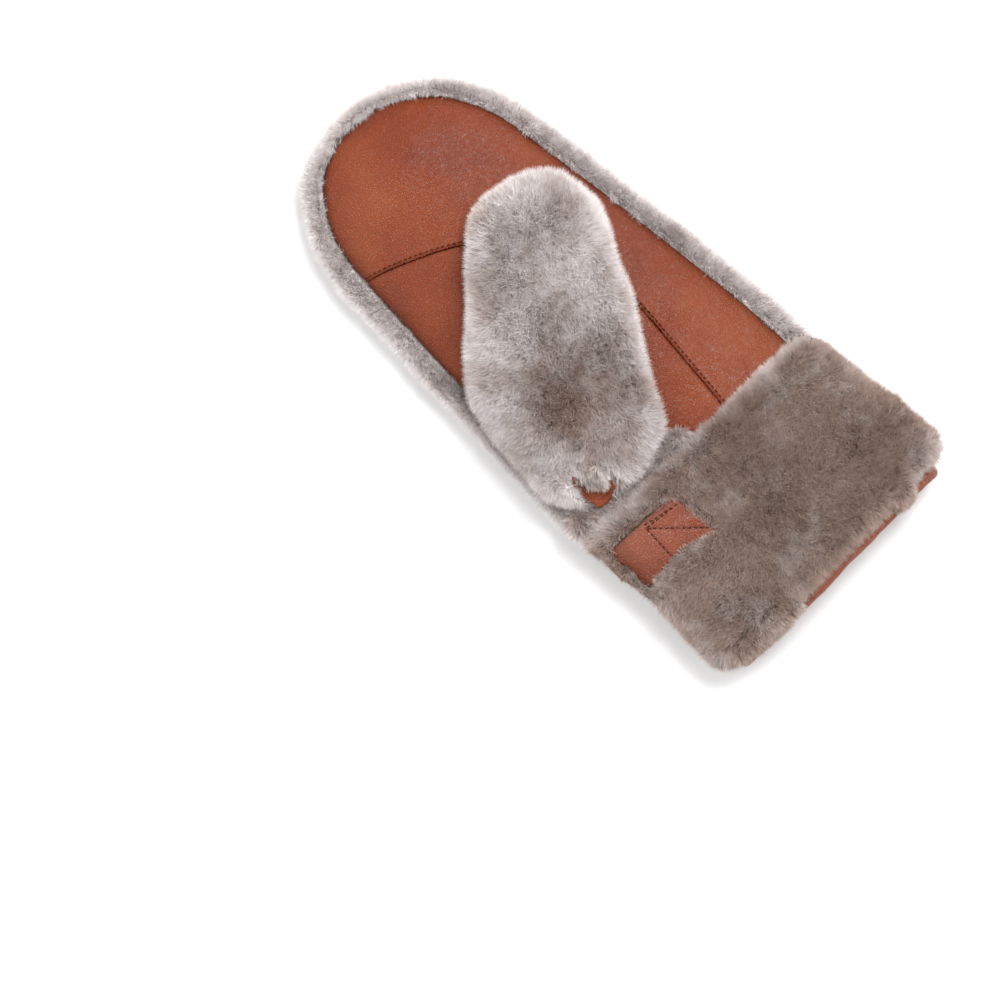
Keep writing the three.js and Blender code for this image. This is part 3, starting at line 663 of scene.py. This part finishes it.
def band(name, node, way, thickness, corner):
    """Flat strap over a CAD node's box, its face towards way, with rounded corners at its free end."""
    low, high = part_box(node)
    cad = cad_tree(node)
    length, width = high.x - low.x, high.y - low.y
    middle = (low.y + high.y) / 2
    bm = bmesh.new()
    bmesh.ops.create_grid(bm, x_segments=60, y_segments=20, size=0.5)
    xs = np.linspace(low.x + 0.2 * MM, high.x - 0.2 * MM, 40)
    clear = middle + 0.36 * width  # a line along the strap that misses the snap
    hits = [cad.ray_cast((x, clear, way), Vector((0, 0, -way)))[0] for x in xs]
    heights = np.array([hit.z if hit else np.nan for hit in hits])
    known = ~np.isnan(heights)
    heights = np.interp(xs, xs[known], heights[known])
    layer = bm.verts.layers.float.new("edge")
    for vert in bm.verts:
        u, v = vert.co.x + 0.5, vert.co.y + 0.5
        from_end = (1 - u) * length
        tuck = corner * max(0.0, 1 - from_end / corner) ** 2 if corner else 0.0
        x = low.x + u * length
        y = middle + (v - 0.5) * (width - 1.2 * tuck)
        rim = min((0.5 - abs(v - 0.5)) * width, from_end if corner else width)
        z = np.interp(x, xs, heights)
        groove = falloff(rim - ROW_INSET, ROW_GROOVE_WIDTH)
        swell = STRAP_WAVE * noise.noise(Vector((x, y, 0)) * 60)
        z += way * (swell - ROW_GROOVE * groove - 0.5 * MM * max(0, 1 - rim / (1.5 * MM)) ** 2)
        vert.co = x, y, z
        # painted shade along the strap's edges and in its stitch groove
        vert[layer] = max(math.exp(-rim / (0.6 * MM)), 0.25 * groove)
    if way < 0:
        bmesh.ops.reverse_faces(bm, faces=bm.faces)
    piece = object_of(name, bm, PALM_LEATHER)
    return seat(thick_leather(piece, thickness, STRAP_BEVEL, 3), "leather", node)


def strap_rows(low, high):
    """Stitch rows along both sides of the strap and across its free end."""
    x0, x1 = low.x + 2 * MM, high.x - 6 * MM
    y0, y1 = low.y + ROW_INSET, high.y - ROW_INSET
    return [[(x0, y0), (x1, y0)], [(x1, y0), (x1, y1)], [(x1, y1), (x0, y1)]]


def rounded_copy(name, node, material, slot, levels, bevel):
    """CAD node with its facets joined to quads, its edges eased and the whole subdivided."""
    bm = cad_bmesh(node)
    bmesh.ops.join_triangles(
        bm, faces=bm.faces, angle_face_threshold=math.radians(40), angle_shape_threshold=math.radians(60)
    )
    if bevel:
        sharp = [e for e in bm.edges if e.is_manifold and e.calc_face_angle() > math.radians(55)]
        bmesh.ops.bevel(bm, geom=sharp, affect="EDGES", offset=bevel, segments=2, profile=0.5, material=-1)
    piece = object_of(name, bm, material)
    finished(piece, ("SUBSURF", {"levels": levels, "render_levels": levels}))
    return seat(smooth(baked(piece)), slot, node)


def rippled(piece, depth, scales, bulge=0.0, at=(0, 0)):
    """Gathers of thin leather, as small moves along the normals, with a bulge at one place."""
    mesh = piece.data
    ways = [v.normal.copy() for v in mesh.vertices]
    for vert, way in zip(mesh.vertices, ways):
        place = Vector([c * s for c, s in zip(vert.co, scales)])
        swell = bulge * falloff((vert.co.xy - Vector(at)).length, 6 * MM)
        vert.co += way * (swell + depth * (noise.noise(place) + 0.4 * noise.noise(2.3 * place)))
    return piece


def away_from(point, start, end):
    """Distance in plan from a point to a straight row."""
    along, off = Vector(end) - Vector(start), Vector(point) - Vector(start)
    share = clamped(off.dot(along) / along.length_squared)
    return (off - share * along).length


def sewn(piece, rows, box):
    """Draws the leather in along its stitch rows, and paints shade into the rows' grooves, along the cut edge
    and towards the tucked inner end.
    """
    (low, high), shades = box, []
    upward = [vert.normal.z > 0.3 for vert in piece.data.vertices]
    for vert, faces_up in zip(piece.data.vertices, upward):
        point = vert.co.xy
        row = min(away_from(point, *row) for row in rows)
        rim = min(point.x - low.x, high.x - point.x, point.y - low.y, high.y - point.y)
        if faces_up:
            vert.co.z -= TAB_GROOVE * falloff(row, 0.6 * MM)
            vert.co.z += TAB_WAVE * noise.noise(vert.co * 120)
        # painted shade: towards the inner end that tucks under the fur, in the rows' grooves and along the
        # cut edge
        tucked_shade = 0.5 * max(0, 1 - (point.x - low.x) / (16 * MM))
        groove_shade = 0.7 * falloff(row, 0.5 * MM)
        shades.append(min(tucked_shade + max(groove_shade, 0.9 * math.exp(-max(rim, 0) / (1.1 * MM))), 1))
    store(piece.data, "edge", shades)
    return piece


def snap_cap():
    """Domed cap with a rolled rim, and the post behind it."""
    low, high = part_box("snap_cap")
    radius = (high.x - low.x) / 2
    centre = Vector(((low.x + high.x) / 2, (low.y + high.y) / 2, 0))
    face, top = low.z + SNAP_CAP_DEPTH, high.z - 0.2 * MM
    path = [(radius * share, low.z + (face - low.z) * depth) for share, depth in SNAP_PROFILE]
    path += [(SNAP_POST, face), (SNAP_POST, top), (0.0, top)]
    bm = bmesh.new()
    verts = [bm.verts.new((r, 0, z)) for r, z in path]
    edges = [bm.edges.new(pair) for pair in zip(verts, verts[1:])]
    bmesh.ops.spin(
        bm, geom=verts + edges, axis=(0, 0, 1), cent=(0, 0, 0), steps=64, angle=2 * math.pi, use_merge=True
    )
    bmesh.ops.remove_doubles(bm, verts=bm.verts, dist=0.002 * MM)
    bmesh.ops.recalc_face_normals(bm, faces=bm.faces)
    bmesh.ops.translate(bm, verts=bm.verts, vec=centre)
    piece = object_of("snap", bm, METAL)
    finished(piece, ("SUBSURF", {"levels": 1, "render_levels": 1}))
    return seat(smooth(baked(piece)), "snap_metal", "snap_cap")


# Pelt and pile

def openness(tree, place, normal):
    """Share of the sky that a point of the surface sees."""
    across = normal.orthogonal().normalized()
    over = normal.cross(across)
    start = place + 0.6 * MM * normal
    ways = [normal]
    for k in range(8):
        turn = math.tau * k / 8
        ways.append((normal + 1.3 * (across * math.cos(turn) + over * math.sin(turn))).normalized())
    free = [tree.ray_cast(start, way, SKY_REACH)[0] is None for way in ways]
    return (2 * free[0] + sum(free[1:])) / 10


def brownness(node, place):
    """How brown the fur is at a place, by its piece and the patches near it, with painted light on the back's
    rim.
    """
    if node == "back_fur":
        # painted light: the rim is lighter, fading to the back's tone below RIM_FOOT
        return RIM_LIT_TONE + (BACK_TONE - RIM_LIT_TONE) * clamped((RIM_FOOT - place.z) / (6 * MM))
    total = CUFF_TONE if node == "cuff_fur" else THUMB_TONE
    if node == "cuff_fur":
        total -= FRONT_LIGHTER * falloff(CUFF_FRONT - place.y, 6 * MM)
    for x, y, reach, strength in BROWN_SPOTS:
        total += strength * falloff(math.hypot(place.x - x * MM, place.y - y * MM), reach * MM)
    return total


def spread_out(mesh, values, passes):
    """Evens out values between neighbouring vertices."""
    pairs = np.empty(2 * len(mesh.edges), np.int32)
    mesh.edges.foreach_get("vertices", pairs)
    pairs = pairs.reshape(-1, 2)
    values = np.asarray(values, float)
    links = np.bincount(pairs.ravel(), minlength=len(values))
    for _ in range(passes):
        total = np.bincount(pairs[:, 0], values[pairs[:, 1]], len(values))
        total += np.bincount(pairs[:, 1], values[pairs[:, 0]], len(values))
        values = 0.5 * values + 0.5 * total / np.maximum(links, 1)
    return values


def pelt(node, everything):
    """Skin and underfur: the CAD node, evened out and drawn in under the tips of the pile."""
    piece = object_of("pelt_" + node, cad_bmesh(node), PELT)
    finished(
        piece,
        ("REMESH", {"mode": "VOXEL", "voxel_size": PELT_STEP}),
        ("SMOOTH", {"factor": 0.5, "iterations": 3}),
    )
    baked(piece)
    mesh = piece.data
    mesh.materials.clear()
    mesh.materials.append(PELT)
    own = BVHTree.FromPolygons([v.co for v in mesh.vertices], [p.vertices for p in mesh.polygons])
    leather, straps = cad_tree(*LEATHER_NODES), cad_tree(*STRAP_NODES)
    grow, depth, ways = [], [], []
    for vert in mesh.vertices:
        seen = openness(everything, vert.co, vert.normal)
        share = clamped((seen - BARE_OPENNESS) / OPENNESS_SPAN)
        beside, _, _, away = leather.find_nearest(vert.co)
        ways.append(lay(node, vert.co, vert.normal, beside))
        if node == "back_fur":
            if away < BESIDE_LEATHER and vert.co.z > beside.z - BELOW_LEATHER:
                share = 1.0
            if within_mouth(vert.co, vert.normal):
                share = 0.0
            if vert.normal.z < 0.3 and straps.find_nearest(vert.co)[3] < BESIDE_STRAPS:
                share = max(share, STRAP_SIDE_PILE)
        through = own.ray_cast(vert.co - SKIN_INSET * vert.normal, -vert.normal)[3]
        grow.append(share)
        depth.append(share * min(PELT_DEPTHS[node], PELT_SHARES[node] * (through or THICKEST_WALL)))
    depth = spread_out(mesh, depth, 3)
    proud = HAIR_LENGTH - PELT_DEPTHS[node] + PROUD[node]
    reach = (depth + proud * spread_out(mesh, grow, 1)) / HAIR_LENGTH
    brown = [brownness(node, vert.co) for vert in mesh.vertices]
    moved = [vert.co - vert.normal * (SKIN_INSET + inset) for vert, inset in zip(mesh.vertices, depth)]
    for vert, place in zip(mesh.vertices, moved):
        vert.co = place
        vert.co.z = max(place.z, SKIN_HEIGHT)
    return furred(piece, grow, reach, brown, ways)


def furred(piece, grow, reach, brown, ways):
    """Gives a pelt its pile's growth, length, tone and lay."""
    store(piece.data, "grow", grow)
    store(piece.data, "reach", reach)
    store(piece.data, "brown", brown)
    store_ways(piece.data, "lay", ways)
    return smooth(piece)


def within_mouth(place, out):
    """Whether a point of the back's hide is on its bare inside, under the cuff."""
    low, high = MOUTH
    return out.z > 0.2 and place.y < CUFF_FRONT and low.x + 2 * MM < place.x < high.x - 3 * MM


def lay(node, place, out, beside):
    """Way the fur is brushed: up along the rim, forwards at the cuff's front and over the thumb's base."""
    if node == "cuff_fur":
        forward = clamped((place.y - CUFF_FRONT) / (5 * MM) + 1.2)
        return 0.0, 0.45 * forward, 0.3 * forward
    if node == "back_fur":
        up = clamped((place.z - RIM_TURN) / (3 * MM))
        inward = Vector((beside.x - place.x, beside.y - place.y, 0)).normalized()
        back = -up * max(out.dot(inward), 0) * inward
        return back.x, back.y, 0.9 * up
    tuft = falloff(math.hypot(place.x - TUFT[0] * MM, place.y - TUFT[1] * MM), TUFT_REACH)
    return -0.35 * tuft, -0.9 * tuft, 0.0


def inside(outline, x, y):
    """Whether a point lies within an outline."""
    odd = False
    for (x0, y0), (x1, y1) in zip(outline, outline[1:] + outline[:1]):
        if (y0 > y) != (y1 > y) and x < x0 + (y - y0) * (x1 - x0) / (y1 - y0):
            odd = not odd
    return odd


def draped(outline, step, over, least, lift, passes):
    """Grid within an outline, laid over a surface and evened out."""
    xs, ys = [p[0] for p in outline], [p[1] for p in outline]
    columns, rows = math.ceil((max(xs) - min(xs)) / step), math.ceil((max(ys) - min(ys)) / step)
    bm = bmesh.new()
    bmesh.ops.create_grid(bm, x_segments=columns, y_segments=rows, size=0.5)
    for vert in bm.verts:
        x = (min(xs) + (vert.co.x + 0.5) * (max(xs) - min(xs))) * MM
        y = (min(ys) + (vert.co.y + 0.5) * (max(ys) - min(ys))) * MM
        hit = over.ray_cast((x, y, 1), DOWN)[0] or over.find_nearest((x, y, least))[0]
        vert.co = x, y, max(hit.z, least) + lift
    for _ in range(passes):
        bmesh.ops.smooth_vert(bm, verts=bm.verts, factor=0.5, use_axis_z=True)
    centres = ((f, f.calc_center_median()) for f in bm.faces)
    gone = [f for f, place in centres if not inside(outline, place.x / MM, place.y / MM)]
    bmesh.ops.delete(bm, geom=gone, context="FACES")
    if sum(f.normal.z for f in bm.faces) < 0:
        bmesh.ops.reverse_faces(bm, faces=bm.faces)
    return bm


def laps():
    """Pelt of the fur that falls over edges."""
    whole = bmesh.new()
    ways, lengths, tones, grow = [], [], [], []
    for outline, nodes, least, lift, way, length, tone in LAPS:
        bm = draped(outline, 1.1, cad_tree(*nodes), least, lift, 4)
        for vert in bm.verts:
            border = vert.is_boundary
            lengths.append(length / HAIR_LENGTH * (LAP_BORDER_LENGTH if border else 1.0))
            grow.append(LAP_BORDER if border else 1.0)
            vert.co.z -= LAP_SINK + lift if border else 0
        ways += [way] * len(bm.verts)
        tones += [tone] * len(bm.verts)
        spare = bpy.data.meshes.new("lap")
        bm.to_mesh(spare)
        bm.free()
        whole.from_mesh(spare)
        bpy.data.meshes.remove(spare)
    return furred(object_of("pelt_laps", whole, PELT), grow, lengths, tones, ways)


def crescent(everything):
    """Bit of leather that shows through the fur at the thumb's base."""
    bm = draped(list(CRESCENT), 0.7, everything, 33.5 * MM, 1.0 * MM, 10)
    layer = bm.verts.layers.float.new("edge")
    for vert in bm.verts:
        # painted shade along the rim, where the fur hangs over the leather
        vert[layer] = 0.5 if vert.is_boundary else 0.0
        vert.co.z -= CRESCENT_SINK if vert.is_boundary else 0
        vert.co.z += 0.5 * MM * noise.noise(vert.co * 160)
    piece = object_of("leather_thumb_base", bm, PALM_LEATHER)
    finished(
        piece,
        ("SOLIDIFY", {"thickness": PALM_THICKNESS, "offset": -1}),
        ("SUBSURF", {"levels": 1, "render_levels": 1}),
    )
    return seat(smooth(baked(piece)), "leather", "thumb_panel")


def under_crescent(place):
    """Whether a point of the thumb's fur is covered by that bit of leather."""
    return place.z > 25 * MM and inside(CRESCENT, place.x / MM, place.y / MM)


def blade():
    """One hair: a narrow triangle from root to tip, with its own map."""
    bm = bmesh.new()
    bmesh.ops.create_circle(bm, cap_ends=True, segments=3, radius=1)
    tip = bm.verts.layers.float.new("tip")
    leaf = bm.loops.layers.uv.new("leaf")
    top = max(bm.verts, key=lambda v: v.co.y)
    for vert in bm.verts:
        ahead = vert == top
        vert[tip] = 1.0 if ahead else 0.0
        vert.co = (0, 0, 1) if ahead else (math.copysign(0.5, vert.co.x), 0, 0)
    for face in bm.faces:
        for loop in face.loops:
            loop[leaf].uv = (0.5, 1) if loop.vert == top else (0.5 + loop.vert.co.x, 0)
    return object_of("hair", bm, PILE)


def random_number(tree, low, high, seed):
    """Random number for each hair."""
    node = add(tree, "FunctionNodeRandomValue", {2: low, 3: high, "Seed": seed}, data_type="FLOAT")
    return node.outputs[1]


def stored(tree, geometry, name, value, domain="POINT", kind="FLOAT"):
    """Stores a named attribute."""
    inputs = {"Geometry": geometry, "Name": name, "Value": value}
    node = add(tree, "GeometryNodeStoreNamedAttribute", inputs, data_type=kind, domain=domain)
    return node.outputs["Geometry"]


def named_value(tree, name, kind="FLOAT"):
    """Value of a named attribute."""
    return add(tree, "GeometryNodeInputNamedAttribute", {"Name": name}, data_type=kind).outputs[0]


def hair_turn(tree, normal, place, seed):
    """Turn of each hair: it leans with the lay of the fur, with its tuft and a little on its own."""
    lean = vector_math(tree, "ADD", normal, named_value(tree, "lay", "FLOAT_VECTOR"))
    for scale, strength in SWIRLS:
        centred = vector_math(tree, "SUBTRACT", swirl(tree, place, scale), (0.5, 0.5, 0.5))
        lean = vector_math(tree, "ADD", lean, vector_math(tree, "SCALE", centred, scale=strength))
    limits = {0: (-STRAY,) * 3, 1: (STRAY,) * 3, "Seed": seed + 1}
    stray = add(tree, "FunctionNodeRandomValue", limits, data_type="FLOAT_VECTOR")
    lean = vector_math(tree, "ADD", lean, stray.outputs[0])
    upright = add(tree, "FunctionNodeAlignRotationToVector", {"Vector": lean}, axis="Z").outputs[0]
    spin = add(tree, "ShaderNodeCombineXYZ", {2: random_number(tree, 0.0, math.tau, seed + 2)}).outputs[0]
    spin = add(tree, "FunctionNodeEulerToRotation", {0: spin}).outputs[0]
    turn = {0: upright, 1: spin}
    return add(tree, "FunctionNodeRotateRotation", turn, rotation_space="LOCAL").outputs[0]


def cell_of(tree, per_row):
    """Each hair's own square in the pile's map, as column and row."""
    index = tree.nodes.new("GeometryNodeInputIndex").outputs[0]
    column = math_node(tree, "MODULO", index, per_row)
    row = math_node(tree, "FLOOR", math_node(tree, "DIVIDE", index, per_row))
    return add(tree, "ShaderNodeCombineXYZ", {0: column, 1: row}).outputs[0]


def map_place(tree, per_row):
    """Place of each corner in the pile's map: the hair's own map, set within its square."""
    leaf = named_value(tree, "leaf", "FLOAT_VECTOR")
    shrunk = vector_math(tree, "SCALE", leaf, scale=1 - 2 * ATLAS_MARGIN)
    shrunk = vector_math(tree, "ADD", shrunk, (ATLAS_MARGIN, ATLAS_MARGIN, 0))
    within = vector_math(tree, "ADD", named_value(tree, "cell", "FLOAT_VECTOR"), shrunk)
    return vector_math(tree, "SCALE", within, scale=1 / per_row)


def pile_nodes(hair, count, density, length, seed):
    """Nodes that set hairs over a pelt and lay them out on one map."""
    tree = bpy.data.node_groups.new("pile", "GeometryNodeTree")
    for way in ("INPUT", "OUTPUT"):
        tree.interface.new_socket("Geometry", in_out=way, socket_type="NodeSocketGeometry")
    start = tree.nodes.new("NodeGroupInput").outputs[0]
    end = tree.nodes.new("NodeGroupOutput")
    thick = math_node(tree, "MULTIPLY", named_value(tree, "grow"), density)
    field = {"Mesh": start, "Density": thick, "Seed": seed}
    spread = add(tree, "GeometryNodeDistributePointsOnFaces", field)
    place = tree.nodes.new("GeometryNodeInputPosition").outputs[0]
    turned = hair_turn(tree, spread.outputs["Normal"], place, seed)
    long = random_number(tree, SHORTEST * length, LONGEST * length, seed + 3)
    long = math_node(tree, "MULTIPLY", long, named_value(tree, "reach"))
    size = add(tree, "ShaderNodeCombineXYZ", {0: HAIR_WIDTH, 1: HAIR_WIDTH, 2: long}).outputs[0]
    per_row = math.ceil(math.sqrt(count))
    points = stored(tree, spread.outputs["Points"], "shade", random_number(tree, 0.0, 1.0, seed + 4))
    points = stored(tree, points, "cell", cell_of(tree, per_row), kind="FLOAT_VECTOR")
    shape = add(tree, "GeometryNodeObjectInfo", {"Object": hair}).outputs["Geometry"]
    inputs = {"Points": points, "Instance": shape, "Rotation": turned, "Scale": size}
    instances = add(tree, "GeometryNodeInstanceOnPoints", inputs).outputs[0]
    hairs = add(tree, "GeometryNodeRealizeInstances", {0: instances}).outputs[0]
    hairs = stored(tree, hairs, "OFBake", map_place(tree, per_row), "CORNER", "FLOAT2")
    held = vector_math(tree, "MAXIMUM", place, (-9.0, -9.0, FLOOR_CLEARANCE))
    hairs = add(tree, "GeometryNodeSetPosition", {"Geometry": hairs, "Position": held}).outputs[0]
    hairs = add(tree, "GeometryNodeSetMaterial", {"Geometry": hairs, "Material": PILE}).outputs[0]
    tree.links.new(hairs, end.inputs[0])
    return tree


def pile(name, base, hair, keep, most, length, seed):
    """Hairs over the faces of a pelt that keep(centre) names, as one piece of at most so many."""
    bm = bmesh.new()
    bm.from_mesh(base.data)
    layer = bm.verts.layers.float["grow"]
    gone = [f for f in bm.faces if not keep(f.calc_center_median()) or max(v[layer] for v in f.verts) <= 0]
    bmesh.ops.delete(bm, geom=gone, context="FACES")
    area = sum(f.calc_area() * sum(v[layer] for v in f.verts) / len(f.verts) for f in bm.faces)
    piece = object_of(name, bm, PILE)
    finished(piece, ("NODES", {"node_group": pile_nodes(hair, most, 0.97 * most / area, length, seed)}))
    baked(piece)
    for spare in ("cell", "leaf", "lay", "reach"):
        left = piece.data.attributes.get(spare)
        if left:
            piece.data.attributes.remove(left)
    piece.data.materials.clear()
    piece.data.materials.append(PILE)
    return piece


# Stage

def floor_finish():
    """Matt, almost even pale grey."""
    material, tree, shader, place = new_finish("floor")
    greys = ((0.0, (0.92,) * 3), (1.0, (0.93,) * 3))
    colour = ramp(tree, noise_value(tree, place, 3.0), greys)
    feed(tree, shader, {"Base Color": colour, "Roughness": 0.9})
    return material


def stage():
    """Pale floor, camera over the mitten and soft lights."""
    bm = bmesh.new()
    bmesh.ops.create_grid(bm, x_segments=1, y_segments=1, size=4)
    floor = object_of("floor", bm, floor_finish())
    floor.location.z = FLOOR_LEVEL
    data = bpy.data.cameras.new("view")
    camera = placed("view", data, (*VIEW_CENTRE, CAMERA_HEIGHT))
    camera.rotation_euler = (0, 0, VIEW_TURN)
    data.sensor_width = SENSOR
    data.lens = SENSOR * (CAMERA_HEIGHT - OBJECT_HEIGHT) / VIEW_WIDTH
    data.clip_start, data.clip_end = 0.05, 20
    bpy.context.scene.camera = camera
    for settings in LAMPS:
        lamp(*settings)
    world = bpy.data.worlds.new("studio")
    world.use_nodes = True
    backdrop = world.node_tree.nodes["Background"]
    feed(world.node_tree, backdrop, {"Color": (1, 1, 1, 1), "Strength": BACKDROP})
    bpy.context.scene.world = world
    bpy.context.scene.view_settings.view_transform = "Standard"


def lamp(name, place, size, power):
    """Soft square light, turned towards the mitten."""
    data = bpy.data.lights.new(name, "AREA")
    data.size = size
    data.energy = power
    light = placed(name, data, place)
    light.rotation_euler = (-Vector(place)).to_track_quat("-Z", "Y").to_euler()


stage()

# The palm, with its seam
grid = palm_grid()
palm = palm_panel("palm_panel", "thumb_panel", grid, True)
palm_panel("thumb_panel", "palm_panel", grid, False)
stitches("stitches_palm", [panel_seam_row(SEAM_ROW_AT)], caster(palm, -1))

# The strap across the back, and the tab under it
strap = band("strap", "back_strap", -1, STRAP_LEATHER, STRAP_CORNER)
strap_low, strap_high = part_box("back_strap")
stitches("stitches_strap", strap_rows(strap_low, strap_high), caster(strap, 1))
counter = band("counter", "counter_tab", -1, COUNTER_LEATHER, 0)
counter_low, counter_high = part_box("counter_tab")
counter_rows = [
    [(strap_high.x + 1 * MM, y), (counter_high.x - 4 * MM, y)]
    for y in (counter_low.y + 3 * MM, counter_high.y - 3 * MM)
]
stitches("stitches_counter", counter_rows, caster(counter, 1))

# The opening's binding and facing
binding = rounded_copy("binding", "cuff_binding", TRIM_LEATHER, "leather", 2, 0)
rippled(binding, 0.5 * MM, (120, 300, 120), 1.1 * MM, BINDING_END)
facing = rounded_copy("facing", "mouth_facing", FACING_LEATHER, "facing", 2, 0)
rippled(facing, 0.9 * MM, (210, 60, 210))

# The snap, and the tab on the palm side of the cuff with its box stitching
snap_cap()
tab_low, tab_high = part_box("palm_tab")
cross, tab_end = tab_low.x + TAB_CROSS, tab_high.x - 1.5 * MM
outer_row, inner_row = tab_high.y - 1.5 * MM, tab_high.y - 3.1 * MM
tab_rows = [
    [(cross, outer_row), (tab_end, outer_row)],
    [(cross, inner_row), (tab_end, inner_row)],
    [(cross, inner_row), (cross, tab_low.y + 2 * MM)],
    [(cross, inner_row), (tab_high.x - 2 * MM, tab_low.y + 3 * MM)],
]
tab = rounded_copy("tab", "palm_tab", TRIM_LEATHER, "leather", 3, TAB_BEVEL)
sewn(tab, tab_rows, (tab_low, tab_high))
stitches("stitches_tab", tab_rows, caster(tab, -1))

# The pelts, and the piles on them
everything = cad_tree(*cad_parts)
hair = blade()
pelts = {node: pelt(node, everything) for node in FUR_NODES}
over_edges = laps()
crescent(everything)
piles = [
    # name, CAD node, which of its faces bear it, most hairs, length and seed
    ("pile_under", "back_fur", lambda p: p.z < UNDERSIDE, UNDER_HAIRS, UNDERSIDE_LENGTH, 11),
    ("pile_rim", "back_fur", lambda p: p.z >= UNDERSIDE, RIM_HAIRS, HAIR_LENGTH, 23),
    ("pile_thumb", "thumb_fur", lambda p: not under_crescent(p), THUMB_HAIRS, HAIR_LENGTH, 37),
    ("pile_cuff", "cuff_fur", lambda p: True, CUFF_HAIRS, HAIR_LENGTH, 41),
]
for name, node, keep, most, length, seed in piles:
    seat(pile(name, pelts[node], hair, keep, most, length, seed), "fur", node)
seat(pile("pile_laps", over_edges, hair, lambda p: True, LAP_HAIRS, HAIR_LENGTH, 53), "fur", "thumb_fur")
finished(over_edges, ("SOLIDIFY", {"thickness": LAP_SKIN, "offset": -1}))
seat(baked(over_edges), "fur", "thumb_fur")
for node, piece in pelts.items():
    seat(piece, "fur", node)
bpy.data.objects.remove(hair)
